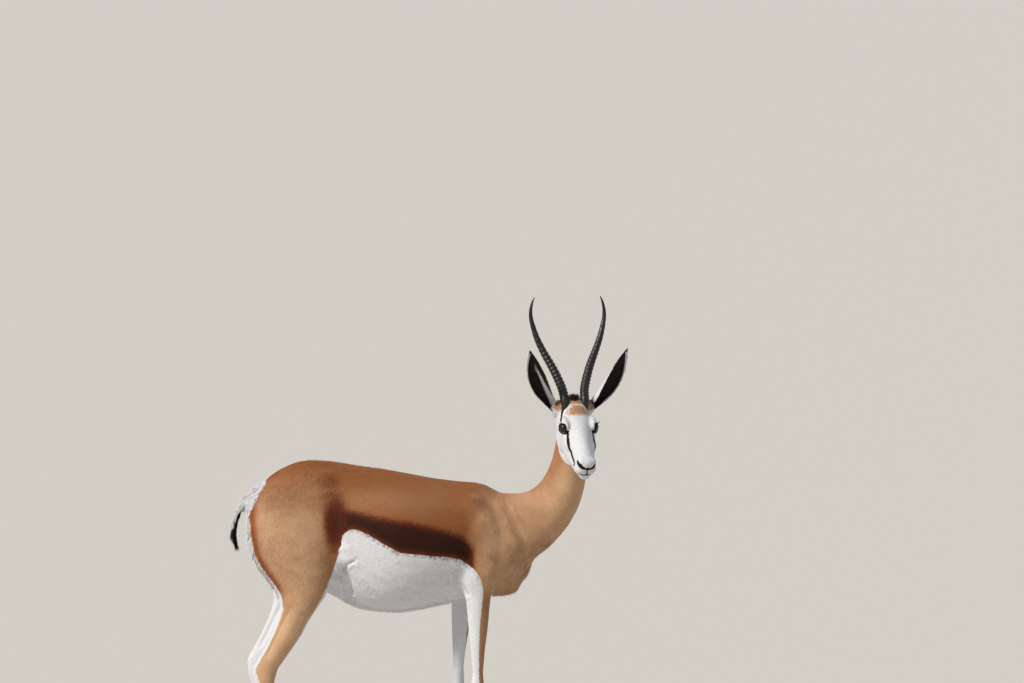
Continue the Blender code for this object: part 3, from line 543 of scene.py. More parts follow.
def ear_frame(side):
    """Foot of the ear, its direction, the way it opens and the way across it."""
    along = AHEAD * EAR_LINE.x + LEFT * (side * EAR_LINE.y) + Vector((0, 0, EAR_LINE.z))
    along.normalize()
    looks = AHEAD * math.cos(EAR_OPENING) + LEFT * (side * math.sin(EAR_OPENING))
    looks = (looks - along * looks.dot(along)).normalized()
    return on_head(EAR_FOOT, side), along, looks, along.cross(looks)


def eye_frame(side):
    """Middle of the eye, the way it looks, the way to its front corner and the way up."""
    gaze = head_way(GAZE, side).normalized()
    corner = head_way(EYE_CORNER, side)
    corner = (corner - gaze * corner.dot(gaze)).normalized()
    upward = gaze.cross(corner)
    if upward.dot(UP) < 0:
        upward = -upward
    return EYES[side], gaze, corner, upward


def eye_opening(spots, side):
    """Distance from the eye's middle, and 1 on the edge of the lids, less inside, more outside."""
    middle, gaze, corner, upward = (np.array(v) for v in eye_frame(side))
    out = spots - middle
    reach = np.linalg.norm(out, axis=1)
    ahead = np.arctan2(out @ corner, out @ gaze) / EYE_HALF_LENGTH
    above = np.arctan2(out @ upward, out @ gaze) / EYE_HALF_HEIGHT
    rounded = np.sqrt(ahead**2 + above**2 * (1 + EYE_ROUNDNESS * ahead**2))
    return reach, np.where(out @ gaze > -0.2 * reach, rounded, 9.0)


def lid_way(side, turn, raised=1.0):
    """The way from the eye's middle to the edge of its lids, at a turn round the opening."""
    _middle, gaze, corner, upward = eye_frame(side)
    ahead = math.cos(turn) * EYE_HALF_LENGTH
    above = math.sin(turn) * EYE_HALF_HEIGHT / math.sqrt(1 + EYE_ROUNDNESS * math.cos(turn) ** 2)
    return (gaze + corner * math.tan(ahead) + upward * math.tan(above * raised)).normalized()


# Axes of the body's parts, each in the direction in which its hair lies
def leg_axis(points, side):
    """An axis given on the right side, as x, distance from the middle and z."""
    made = []
    for x, aside, z in points:
        shift = 0.0
        if side > 0:
            shift = float(far_fore_shift(z) if x > 0 else far_hind_shift(z))
        made.append((x + shift, MID_Y + side * aside, z))
    return made


FORE_AXIS = [(0.13, 0.060, 0.62), (0.122, 0.068, 0.45), (0.122, 0.068, 0.27), (0.122, 0.068, 0.10),
             (0.141, 0.068, 0.02)]
HIND_AXIS = [(-0.30, 0.055, 0.72), (-0.325, 0.072, 0.60), (-0.312, 0.076, 0.50), (-0.318, 0.078, 0.435),
             (-0.347, 0.078, 0.37), (-0.388, 0.078, 0.30), (-0.400, 0.078, 0.255), (-0.397, 0.078, 0.12),
             (-0.386, 0.078, 0.085), (-0.366, 0.078, 0.02)]
HEAD_AXIS = [(0.125, 0, -0.055), (0, 0, -0.035), (-0.11, 0, -0.03)]
AXES = {
    "trunk": [(0.26, MID_Y, 0.60), (0.10, MID_Y, 0.60), (-0.20, MID_Y, 0.64), (-0.36, MID_Y, 0.66),
              (-0.44, MID_Y, 0.60)],
    "neck": [(0.352, -0.030, 0.94), (0.354, 0.020, 0.86), (0.338, 0.046, 0.74), (0.300, 0.056, 0.655),
             (0.200, MID_Y, 0.590)],
    "head": [tuple(on_head(place)) for place in HEAD_AXIS],
    "tail": [(-0.415, MID_Y, 0.712), (-0.458, MID_Y - 0.002, 0.680), (-0.476, MID_Y - 0.005, 0.630),
             (-0.470, MID_Y - 0.009, 0.578)],
}
for _side, _name in SIDES:
    AXES["foreleg_" + _name] = leg_axis(FORE_AXIS, _side)
    AXES["hindleg_" + _name] = leg_axis(HIND_AXIS, _side)
    _foot, _along, _looks, _across = ear_frame(_side)
    AXES["ear_" + _name] = [tuple(_foot - _along * 0.02), tuple(_foot + _along * EAR_LENGTH)]
LABELS = list(AXES)


class Regions:
    """Tells which part of the animal a spot belongs to, by the nearest solid."""

    def __init__(self):
        spots, faces, self.owner = [], [], []
        for number, name in enumerate(LABELS):
            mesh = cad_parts[name].data
            start = len(spots)
            spots += [v.co.copy() for v in mesh.vertices]
            faces += [[start + i for i in face.vertices] for face in mesh.polygons]
            self.owner += [number] * len(mesh.polygons)
        self.tree = BVHTree.FromPolygons(spots, faces)

    def of(self, spots):
        find = self.tree.find_nearest
        return np.array([self.owner[find(Vector(spot))[2]] for spot in spots])


def is_part(labels, *names):
    return np.isin(labels, [i for i, label in enumerate(LABELS) if label.startswith(names)])


def white_of_body(spots, normals):
    """The white of belly, rump, legs and back, as if the whole skin were body."""
    x, aside, z = as_right_side(spots).T
    outward = outward_of(spots, normals)
    shin = x - along_line(z, THIGH_FRONT)
    fore_edge = along_line(z, FORELEG_BORDER)
    belly = np.minimum(along_line(x, STRIPE_LOW) - z, shin)
    belly = np.minimum(belly, fore_edge + FORE_WRAP * smooth(-outward, *FORE_WRAP_FACING) - x)
    rump_edge = along_line(z, RUMP_BORDER) + RUMP_WIDENING * smooth(z, *RUMP_WIDENING_Z)
    half = along_line(z, RUMP_HALF_WIDTH) - aside
    rump = np.minimum(within(x < RUMP_X, rump_edge - x), half)
    rear = (x < REAR_X) & between(z, *REAR_Z) & (normals[:, 0] < -REAR_FACING)
    rump = np.maximum(rump, within(rear, np.minimum(REAR_HALF_WIDTH - aside, half)))
    inside_hind = within((z < HIND_TOP) & (x < HIND_X), (-outward - HIND_INWARD) * TURN)
    inside_hind = np.maximum(inside_hind, within(between(z, *SHIN_Z) & (x < HIND_X), shin))
    fore = (z < FORE_TOP) & between(x, FORE_X, fore_edge + FORE_MARGIN)
    inside_fore = within(fore, (-outward - FORE_INWARD) * TURN)
    under = within((z < UNDER_TOP) & between(x, *UNDER_X), (-normals[:, 2] - UNDER_DOWN) * TURN)
    fold = within((z > FOLD_Z) & (x < FOLD_X), along_line(x, FOLD_HALF_WIDTH) - aside)
    return np.maximum.reduce([belly, rump, inside_hind, inside_fore, under, fold])


def white_of_head(spots):
    """The white of the face, how near to the face a spot lies, and the white of the throat."""
    head = in_head(spots)
    forward, out, up = head.T
    face = forward - along_line(up, FACE_REAR)
    forehead = (oval(forward, out, FOREHEAD, FOREHEAD_HALF) - 1) * FOREHEAD_FIELD
    face = np.where(up > FOREHEAD_LOW, np.minimum(face, forehead), face)
    face = np.minimum(face, (reach_from(head, FAWN_SPOT) - FAWN_SPOT_RADIUS) * SOFT_EDGE)
    near = FACE_RADIUS - reach_from(head, FACE_MIDDLE)
    reach, share = line_distance(spots, [on_head(THROAT_TOP), THROAT_FOOT])
    return face, near, (THROAT_HALF - THROAT_TAPER * share - reach) * SOFT_EDGE


def white_field(spots, normals, labels):
    """How far inside the white a spot lies, in metres; negative outside it."""
    white = white_of_body(spots, normals)
    face, near, throat = white_of_head(spots)
    white = np.where(is_part(labels, "head"), np.maximum(face, throat), white)
    white = np.where(is_part(labels, "neck"), np.maximum(throat, np.minimum(face, near)), white)
    white = np.where(is_part(labels, "tail"), 0.02, white)
    return np.where(is_part(labels, "ear"), ear_fields(spots, normals, labels)[0], white)


def ear_place(spots, normals, side):
    """Where on an ear a spot lies: along it, from edge to edge (1 is towards the horns), the ear's
    half width there, and whether it is on the inner side."""
    foot, along, looks, beside = (np.array(v) for v in ear_frame(side))
    place = spots - foot
    share = place @ along / EAR_LENGTH
    width = np.interp(share, [s.along for s in EAR], [s.width for s in EAR]) * EAR_HALF_WIDTH
    reach = np.radians(np.interp(share, [s.along for s in EAR], [s.span for s in EAR]))
    cup = np.where(reach < np.pi / 2, width / np.sin(reach), width)
    place = place - LEFT_ARRAY * (side * EAR_BOW * np.sin(np.pi * np.clip(share, 0, 1)))[:, None]
    aside, depth = place @ beside, cup - EAR_SET_BACK - place @ looks
    to_axis = looks * depth[:, None] - beside * aside[:, None]
    inside = np.sum(normals * to_axis, axis=1) > 0
    return share, -side * np.arctan2(aside, depth) / reach, width, inside


def ear_fields(spots, normals, labels):
    """How far inside the white and the black of the ears a spot lies."""
    white = np.full(len(spots), NOWHERE)
    black = np.full(len(spots), NOWHERE)
    for side, name in SIDES:
        here = is_part(labels, "ear_" + name)
        if not here.any():
            continue
        share, medial, width, inside = ear_place(spots[here], normals[here], side)
        middle, strip = EAR_STREAK[side]
        streak = (along_line(share, strip) - np.abs(medial - middle)) * width
        rim = (1 - np.abs(medial)) * width
        edge = within(between(share, *EAR_EDGE) & (medial < 0), EAR_EDGE_WIDTH - rim)
        pale = np.maximum(streak, edge)
        foot = within(medial > 0.2, (EAR_FOOT_BLACK - share) * EAR_LENGTH)
        dark = np.maximum((share - EAR_TIP_BLACK) * EAR_LENGTH, foot)
        back_end = EAR_BACK_WHITE - 0.20 * (side < 0)
        back = np.minimum((medial - 0.15) * width, (back_end - share) * 0.06)
        black[here] = np.where(inside, -pale, dark) * 0.6
        white[here] = np.where(inside, 0.01, back)
    return white, black


def stripe_field(spots, labels):
    """How far inside the flank stripe a spot lies; it fades out over the thigh, and widens into an oval of
    painted shade on the thigh's front.
    """
    x, _aside, z = as_right_side(spots).T
    inside = np.minimum(along_line(x, STRIPE_TOP) - z, z - along_line(x, STRIPE_LOW))
    inside = np.minimum(inside, STRIPE_FRONT - x)
    inside = np.minimum(inside, (x - STRIPE_REAR) * STRIPE_REAR_SLOPE)
    # painted shade: an oval on the thigh's front that takes the stripe's edge colour
    least, rise = PAINTED_SHADE_LOBE_FIELD
    inside = np.maximum(inside, least + rise * smooth(oval(x, z, PAINTED_SHADE_LOBE_MIDDLE, PAINTED_SHADE_LOBE_HALF), 1.0, 0.0))
    return np.where(is_part(labels, "head", "neck", "ear", "tail"), NOWHERE, inside)


def black_field(spots, normals, labels):
    """How far inside the black a spot lies."""
    head = in_head(spots)
    side_on, front_on, along_lips = (1, 0.2, 1), (0.35, 1, 1), (0.6, 1, 1)

    def reach_of(name, seen):
        return line_distance(head * seen, FACE_LINES[name] * seen)

    stripe, share = reach_of("stripe", side_on)
    made = [STRIPE_HALF + STRIPE_SWELL * np.sin(np.pi * share**1.3) - stripe]
    brow, share = line_distance(head, BROW_LINE)
    made.append(BROW_HALF - BROW_TAPER * share - brow)
    nostril, share = reach_of("nostril", front_on)
    made.append(NOSTRIL_HALF - NOSTRIL_TAPER * share - nostril)
    made.append(NOSE_HALF - reach_of("nose", front_on)[0])
    made.append(PHILTRUM_HALF - reach_of("philtrum", front_on)[0])
    mouth, share = reach_of("mouth", along_lips)
    made.append(MOUTH_HALF - MOUTH_TAPER * share - mouth)
    made.append(POLL_RADIUS - reach_from(head, POLL, POLL_STRETCH))
    for side, _name in SIDES:
        reach, opening = eye_opening(spots, side)
        above = smooth((spots - np.array(EYES[side])) @ np.array(eye_frame(side)[3]), 0.000, 0.012)
        made.append(within(reach < EYE_REACH, (EYE_RING + EYE_RING_ABOVE * above - opening) * 0.010))
    black = within(is_part(labels, "head", "neck"), np.maximum.reduce(made))
    x, _y, z = spots.T
    taper = TAIL_LINE_TAPER * np.maximum(0, z - TAIL_LINE_TAPER_Z)
    front = x - along_line(z, TAIL_MIDDLE) + TAIL_LINE_SET_FORWARD - taper
    tail = np.maximum(TAIL_TUFT_Z - z, np.minimum(TAIL_LINE_Z - z, front))
    black = np.where(is_part(labels, "tail"), tail, black)
    return np.where(is_part(labels, "ear"), ear_fields(spots, normals, labels)[1], black)


def tone_fields(spots, normals, labels):
    """Rust and tan, each 0 to 1; the tan holds a painted highlight along the flank and painted shade on the
    thigh's front.
    """
    x, _aside, z = as_right_side(spots).T
    outward = outward_of(spots, normals)
    past = x - along_line(z, RUMP_BORDER)
    rust = bell(past, RUST_MIDDLE, RUST_WIDTH) * smooth(z, *RUST_Z) * smooth(x, *RUST_X)
    head = in_head(spots)
    crown = is_part(labels, "head") & (head[:, 0] > CROWN_REAR) & (head[:, 2] > 0.0)
    rust = np.where(crown, CROWN_RUST, np.where(is_part(labels, "tail", "ear"), 0.0, rust))
    thigh = THIGH_TAN * smooth(x, *THIGH_TAN_X) * smooth(z, *THIGH_TAN_Z)
    shoulder = SHOULDER_TAN * smooth(x, *SHOULDER_TAN_X) * smooth(z, *SHOULDER_TAN_Z)
    # painted highlight: a lighter band along the flank
    flank = FLANK_PAINTED_HIGHLIGHT * smooth(np.abs(z - FLANK_HIGHLIGHT_MIDDLE_Z), FLANK_HIGHLIGHT_HALF, 0.0) * smooth(x, *FLANK_HIGHLIGHT_X)
    tan = np.maximum.reduce([thigh, shoulder, flank, leg_share(spots)])
    foreleg = smooth(x, *FORELEG_X) * smooth(z, *FORELEG_Z)
    tan = tan * (1 - FORELEG_FAWN * foreleg)
    # painted shade: the thigh's front turns from tan to fawn, most where it faces outwards
    shade = smooth(oval(x, z, THIGH_PAINTED_SHADE_MIDDLE, THIGH_PAINTED_SHADE_HALF), *THIGH_PAINTED_SHADE_RISE) * smooth(outward, *THIGH_PAINTED_SHADE_FACING)
    tan = tan * (1 - shade)
    ahead = (spots[:, 0] - NECK_FOOT[0]) * NECK_RISE[0] + (z - NECK_FOOT[1]) * NECK_RISE[1]
    neck = smooth(ahead, *NECK_START)
    front = smooth(ahead, *NECK_FRONT) * smooth(z, *NECK_FRONT_Z)
    nape = smooth(normals[:, 0], *NAPE_FACING) * smooth(z, *NAPE_FOOT_Z) * smooth(z, *NAPE_TOP_Z)
    tan = tan * (1 - neck) + (NECK_TAN + NECK_FRONT_TAN * front) * (1 - NAPE_FAWN * nape) * neck
    return rust, np.where(is_part(labels, "ear", "head"), HEAD_TAN, tan)


FACE_LINES = {
    "stripe": on_face(FACE_STRIPE),
    "nostril": on_face(NOSTRIL),
    "nose": on_face(NOSE_BASE),
    "philtrum": on_face(PHILTRUM),
    "mouth": on_face(MOUTH),
}


def fields_of(spots, normals, labels):
    rust, tan = tone_fields(spots, normals, labels)
    return {
        "white": white_field(spots, normals, labels),
        "stripe": stripe_field(spots, labels),
        "black": black_field(spots, normals, labels),
        "rust": rust,
        "tan": tan,
    }


def store(mesh, name, values):
    """Keeps one number for each point of a mesh."""
    attribute = mesh.attributes.new(name, "FLOAT", "POINT")
    attribute.data.foreach_set("value", np.asarray(values, np.float32))


def store_places(mesh, name, places, domain):
    """Keeps one place for each point or face corner of a mesh."""
    attribute = mesh.attributes.new(name, "FLOAT_VECTOR", domain)
    attribute.data.foreach_set("vector", np.asarray(places, np.float32).ravel())


class Nodes:
    """Short names for a material's nodes."""

    def __init__(self, name):
        self.material = bpy.data.materials.new(name)
        self.material.use_nodes = True
        self.tree = self.material.node_tree
        self.shader = self.tree.nodes["Principled BSDF"]

    def new(self, kind, inputs=(), **settings):
        node = self.tree.nodes.new("ShaderNode" + kind)
        for key, value in settings.items():
            setattr(node, key, value)
        for key, value in dict(inputs).items():
            self.put(node.inputs[key], value)
        return node

    def put(self, socket, value):
        if isinstance(value, bpy.types.NodeSocket):
            self.tree.links.new(value, socket)
        else:
            socket.default_value = value

    def number(self, name):
        return self.new("Attribute", attribute_name=name).outputs["Fac"]

    def places(self, name):
        return self.new("Attribute", attribute_name=name).outputs["Vector"]

    def place(self):
        return self.new("TexCoord").outputs["Object"]

    def math(self, operation, *values):
        return self.new("Math", enumerate(values), operation=operation).outputs[0]

    def ramp(self, value, none, full, low=0.0, high=1.0):
        inputs = {0: value, 1: none, 2: full, 3: low, 4: high}
        return self.new("MapRange", inputs, interpolation_type="SMOOTHSTEP").outputs[0]

    def mix(self, share, first, second, how="MIX"):
        first, second = ((*c, 1.0) if isinstance(c, tuple) else c for c in (first, second))
        node = self.new("Mix", {0: share, 6: first, 7: second}, data_type="RGBA", blend_type=how)
        return node.outputs[2]

    def noise(self, scale, detail=2.0, vector=None):
        vector = vector or self.place()
        return self.new("TexNoise", {"Vector": vector, "Scale": scale, "Detail": detail}).outputs[0]

    def set(self, **values):
        for key, value in values.items():
            self.put(self.shader.inputs[key.replace("_", " ")], value)

    def bump(self, height, distance, strength=1.0):
        node = self.new("Bump", {"Height": height, "Distance": distance, "Strength": strength})
        self.put(self.shader.inputs["Normal"], node.outputs[0])


# Edges of the markings: the field, how far its edge wanders, where it starts and is full, and its colour
EDGES = (
    # the stripe's field also holds painted shade on the thigh's front
    ("stripe", 0.008, -0.008, 0.005, "stripe_edge_and_thigh_shade"),
    ("stripe", 0.008, 0.000, 0.017, "stripe"),
    ("white", 0.006, -0.0012, 0.0012, "white"),
    ("black", 0.0008, -0.0005, 0.0007, "black"),
)
# Sizes of the noises: edges that wander, patches of rust in the fawn, streaks of hair and how dark they are
EDGE_NOISE = 240.0
PATCH_NOISE = 22.0
PATCH_RUST = 0.16
STREAK_DARK = (0.02, 0.012, 0.01)
STREAK_SHARE = 0.20
STREAK_DEPTH = 0.0009
SKIN_FINISH = {"Roughness": 0.62, "Specular_IOR_Level": 0.14, "Sheen_Weight": 0.02, "Sheen_Roughness": 0.45}
HAIR_FINISH = {"Roughness": 0.58, "Specular_IOR_Level": 0.13, "Sheen_Weight": 0.02, "Sheen_Roughness": 0.45}


def marking_colour(nodes):
    """The coat's colour at a point, from the fields that skin and coat both carry."""
    looks = bpy.context.scene.springbok_markings
    wander = nodes.math("SUBTRACT", nodes.noise(EDGE_NOISE, 3.0), 0.5)
    patches = nodes.ramp(nodes.noise(PATCH_NOISE, 3.0), 0.35, 0.70)
    rust = tuple(looks.rust)
    coat = nodes.mix(nodes.number("tan"), tuple(looks.fawn), tuple(looks.tan))
    coat = nodes.mix(patches, coat, nodes.mix(PATCH_RUST, coat, rust))
    coat = nodes.mix(nodes.number("rust"), coat, rust)
    for field, wandering, start, full, tint in EDGES:
        value = nodes.math("MULTIPLY_ADD", wander, wandering, nodes.number(field))
        coat = nodes.mix(nodes.ramp(value, start, full), coat, tuple(getattr(looks, tint)))
    return coat


def skin_material():
    """Short hair lying flat: fine streaks along the lie of the coat."""
    nodes = Nodes("skin_and_short_hair")
    base = marking_colour(nodes)
    streaks = nodes.noise(1.0, 3.0, nodes.places("lie"))
    calm = nodes.number("calm")
    share = nodes.math("MULTIPLY", nodes.ramp(streaks, 0.3, 0.75), calm)
    base = nodes.mix(share, base, nodes.mix(STREAK_SHARE, base, STREAK_DARK))
    nodes.set(Base_Color=base, **SKIN_FINISH)
    nodes.bump(streaks, STREAK_DEPTH, nodes.math("MULTIPLY", calm, 0.7))
    return nodes.material


def coat_material(name):
    """Hair in tufts: each tuft has its own shade, and its tip is lighter."""
    nodes = Nodes(name)
    shade = nodes.number("shade")
    grey = nodes.new("CombineColor", {0: shade, 1: shade, 2: shade}).outputs[0]
    nodes.set(Base_Color=nodes.mix(1.0, marking_colour(nodes), grey, "MULTIPLY"), **HAIR_FINISH)
    return nodes.material


def choose(thing):
    """Makes a thing the only selected one."""
    bpy.ops.object.select_all(action="DESELECT")
    thing.select_set(True)
    bpy.context.view_layer.objects.active = thing


def object_from(name, mesh):
    thing = bpy.data.objects.new(name, mesh)
    bpy.context.scene.collection.objects.link(thing)
    return thing


def apply_modifier(thing, kind, **settings):
    choose(thing)
    step = thing.modifiers.new(kind.lower(), kind)
    for key, value in settings.items():
        setattr(step, key, value)
    bpy.ops.object.modifier_apply(modifier=step.name)


def loft(name, rings, closed=False):
    """A skin over a row of rings with the same number of points, capped at both ends or closed on itself."""
    shape = bmesh.new()
    rows = [[shape.verts.new(spot) for spot in ring] for ring in rings]
    count = len(rows[0])
    following = rows[1:] + rows[:1] if closed else rows[1:]
    for here, there in zip(rows, following):
        for i in range(count):
            j = (i + 1) % count
            shape.faces.new((here[i], here[j], there[j], there[i]))
    if not closed:
        shape.faces.new(list(reversed(rows[0])))
        shape.faces.new(rows[-1])
    bmesh.ops.recalc_face_normals(shape, faces=shape.faces)
    mesh = bpy.data.meshes.new(name)
    shape.to_mesh(mesh)
    shape.free()
    return object_from(name, mesh)


def ball(name, radius, place=(0, 0, 0), **settings):
    """A sphere as Blender adds it, under its own name."""
    bpy.ops.object.select_all(action="DESELECT")
    bpy.ops.mesh.primitive_uv_sphere_add(radius=radius, location=place, **settings)
    thing = bpy.context.object
    thing.name = thing.data.name = name
    return thing


def solid_copy(name, node, step, **settings):
    """A copy of a solid with its points merged, and one more step of edit mode."""
    copy = object_from(name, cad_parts[node].data.copy())
    choose(copy)
    bpy.ops.object.mode_set(mode="EDIT")
    bpy.ops.mesh.select_all(action="SELECT")
    bpy.ops.mesh.remove_doubles(threshold=0.00001)
    step(**settings)
    bpy.ops.object.mode_set(mode="OBJECT")
    return copy


def column(table, what, width=1, kind=np.int32):
    """One measure of every row in a mesh's table."""
    values = np.empty(len(table) * width, kind)
    table.foreach_get(what, values)
    return values if width == 1 else values.reshape(-1, width)


def spots_of(mesh):
    return column(mesh.vertices, "co", 3, np.float32).astype(float)


def normals_of(mesh):
    return column(mesh.vertices, "normal", 3, np.float32).astype(float)


def move_to(mesh, spots):
    mesh.vertices.foreach_set("co", spots.astype(np.float32).ravel())
    mesh.update()


def finish_piece(piece, slot, material, *nodes):
    """Smooth shading, finish, place in the frame and the solids that the piece stands for."""
    piece.data.materials.clear()
    piece.data.materials.append(material)
    piece.data.shade_smooth()
    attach(piece, "root")
    if nodes:
        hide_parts(*nodes)


def weigh(thing, name, weights):
    """A vertex group whose weights come in even steps."""
    group = thing.vertex_groups.new(name=name)
    steps = np.round(weights * WEIGHT_STEPS).astype(int)
    for step in range(1, WEIGHT_STEPS + 1):
        group.add(np.nonzero(steps == step)[0].tolist(), step / WEIGHT_STEPS, "REPLACE")
    return name


# Making of the skin: how far the flesh is grown to overlap, and the balls that hold the eyelids out
FLESH_GROWTH = 0.0006
SOCKET_MARGIN = 0.0008
WEIGHT_STEPS = 10
# Steps round and between the slices of an ear's leaf
LEAF_STEPS = 9
SLICE_STEPS = 5
# Rounds of smoothing at this grid, and the strength of each; a finer grid needs more rounds
SMOOTHED_GRID = 0.0018
SMOOTHING = 0.6
BODY_ROUNDS = 200
LIMB_ROUNDS = 22
HEAD_ROUNDS = 6
EAR_ROUNDS = 2
NAPE_ROUNDS = 30
LOSS_ROUNDS = 70
NAPE_REACH = 0.007
EAR_DEPTH = 0.0005
# Eyelids: their thickness, the roll along their edge, and the depth of the skin behind the eyeball's front
LID_THICKNESS = 0.0016
LID_ROLL = 0.0010
SOCKET_DEPTH = 0.0030


def ear_leaf(side, name):
    """The cupped leaf of an ear, finer than the solid that it follows."""
    foot, along, looks, beside = ear_frame(side)
    rings = []
    for row in through(EAR, SLICE_STEPS):
        part = EarSlice(*row)
        reach = math.radians(part.span)
        half = EAR_HALF_WIDTH * part.width
        outer = half / math.sin(reach) if part.span < 90 else half
        wall = min(EAR_WALL, outer * 0.7)
        middle = foot + along * (part.along * EAR_LENGTH)
        middle += looks * (outer + part.bow - EAR_SET_BACK)
        middle += LEFT * (side * EAR_BOW * math.sin(math.pi * min(1.0, max(0.0, part.along))))
        across_leaf = range(-LEAF_STEPS, LEAF_STEPS + 1)
        ring = []
        for radius, order in ((outer, across_leaf), (outer - wall, reversed(across_leaf))):
            for i in order:
                angle = reach * i / LEAF_STEPS
                around = beside * math.sin(angle) - looks * math.cos(angle)
                ring.append(middle + around * radius)
        rings.append(ring)
    return loft("ear_leaf_" + name, rings)


def head_share(spots):
    """1 on the head and ears, 0 on the neck."""
    reach = reach_from(spots, on_head(SKULL))
    return np.maximum(smooth(reach, 0.135, 0.112), smooth(spots[:, 2], 0.905, 0.925))


def join_flesh(grid):
    """All the flesh as one closed skin."""
    growth = {"value": FLESH_GROWTH, "use_even_offset": True}
    parts = [solid_copy(name + "_copy", name, bpy.ops.transform.shrink_fatten, **growth) for name in FLESH]
    parts += [ear_leaf(side, name) for side, name in SIDES]
    parts += [ball("socket_" + name, EYE_RADIUS + SOCKET_MARGIN, EYES[side]) for side, name in SIDES]
    bpy.ops.object.select_all(action="DESELECT")
    for part in parts:
        part.select_set(True)
    bpy.context.view_layer.objects.active = parts[0]
    bpy.ops.object.join()
    skin = bpy.context.object
    skin.name = skin.data.name = "skin"
    skin.data.materials.clear()
    apply_modifier(skin, "REMESH", mode="VOXEL", voxel_size=grid)
    return skin


def spread(mesh, values, rounds):
    """Evens a number out over a mesh, from each point to its neighbours."""
    first, second = column(mesh.edges, "vertices", 2).T
    count = len(values)
    degree = np.bincount(first, minlength=count) + np.bincount(second, minlength=count)
    for _round in range(rounds):
        around = np.bincount(first, values[second], count) + np.bincount(second, values[first], count)
        values = (1 - SMOOTHING) * values + SMOOTHING * around / np.maximum(degree, 1)
    return values


def near_both(spots, first, second):
    """1 where a spot lies by the cut between two solids, and 0 away from it."""
    made = np.zeros(len(spots))
    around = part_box(first)
    low, high = np.array(around[0]) - NAPE_REACH, np.array(around[1]) + NAPE_REACH
    trees = tree_of(first), tree_of(second)
    for i in np.nonzero(np.all(between(spots, low, high), axis=1))[0]:
        spot = Vector(spots[i])
        far = max((tree.find_nearest(spot, NAPE_REACH)[3] or NAPE_REACH) for tree in trees)
        made[i] = min(1.0, 2 - 2 * far / NAPE_REACH)
    return made


def soften(skin, grid):
    """Takes the facets out: widely on the body, lightly on legs, tail and head."""
    before = spots_of(skin.data)
    head, low, ears = head_share(before), leg_share(before), ear_share(before)
    tail = smooth(before[:, 0], -0.435, -0.452) * smooth(before[:, 2], 0.73, 0.71)
    passes = (
        ("body", 1 - np.maximum.reduce([head, low, tail]), BODY_ROUNDS),
        ("limbs", np.maximum(low, tail) * (1 - head), LIMB_ROUNDS),
        ("head", head * (1 - ears), HEAD_ROUNDS),
        ("ears", ears, EAR_ROUNDS),
        ("nape", near_both(before, "head", "neck"), NAPE_ROUNDS),
    )
    scale = (SMOOTHED_GRID / grid) ** 2
    for name, weights, rounds in passes:
        group = weigh(skin, name, weights)
        rounds = max(2, round(rounds * scale))
        apply_modifier(skin, "SMOOTH", factor=SMOOTHING, iterations=rounds, vertex_group=group)
    skin.vertex_groups.clear()
    after, normals = spots_of(skin.data), normals_of(skin.data)
    lost = np.sum((before - after) * normals, axis=1)
    lost = spread(skin.data, lost, round(LOSS_ROUNDS * scale)) * (1 - ears)
    move_to(skin.data, after + normals * lost[:, None])


def coat_depth(spots):
    """How deep under the tips of the coat the skin lies."""
    looks = bpy.context.scene.springbok_skin
    tail = smooth(spots[:, 0], -0.440, -0.455) * smooth(spots[:, 2], 0.715, 0.700)
    depth = looks.body_depth
    for share, part_depth in (
        (smooth(spots[:, 2], 0.50, 0.36), looks.leg_depth), (head_share(spots), looks.head_depth),
        (tail, looks.tail_depth), (ear_share(spots), EAR_DEPTH),
    ):
        depth = depth * (1 - share) + part_depth * share
    return depth


def carve_body(spots, normals):
    """Folds and tendons."""
    right = as_right_side(spots)
    outward = smooth(np.abs(normals[:, 1]), 0.15, 0.6)
    moved = np.zeros(len(spots))
    for crease in CREASES:
        reach, share = line_distance(right[:, [0, 2]], crease.line)
        ends = smooth(share, 0.0, 0.15) * smooth(share, 1.0, 0.85)
        moved -= crease.depth * bell(reach, 0.0, crease.width) * (0.25 + 0.75 * ends)
    return spots + normals * (moved * outward * (1 - head_share(spots)))[:, None]


def carve_face(spots, normals):
    """Nostrils, lips, mouth, tear groove and eyelids."""
    head = in_head(spots)
    moved = np.zeros(len(spots))
    for groove in GROOVES:
        moved -= groove.depth * bell(line_distance(head, FACE_LINES[groove.line])[0], 0.0, groove.width)
    for line, away, height in SWELLINGS:
        moved += height * bell(line_distance(head, FACE_LINES[line])[0], away, SWELLING_WIDTH)
    spots = spots + normals * (moved * head_share(spots))[:, None]
    for side, _name in SIDES:
        middle = np.array(EYES[side])
        reach, opening = eye_opening(spots, side)
        near = (reach < EYE_REACH) & (opening < 2.3)
        lid = EYE_RADIUS + LID_THICKNESS + LID_ROLL * bell(opening, 1.12, 0.12)
        inside = EYE_RADIUS - SOCKET_DEPTH
        wanted = inside + (lid - inside) * smooth(opening, 0.90, 1.04)
        keep = smooth(opening, 1.25, 2.2)
        new_reach = np.where(near, wanted * (1 - keep) + reach * keep, reach)
        spots = middle + (spots - middle) * (new_reach / np.maximum(reach, 1e-6))[:, None]
    return spots


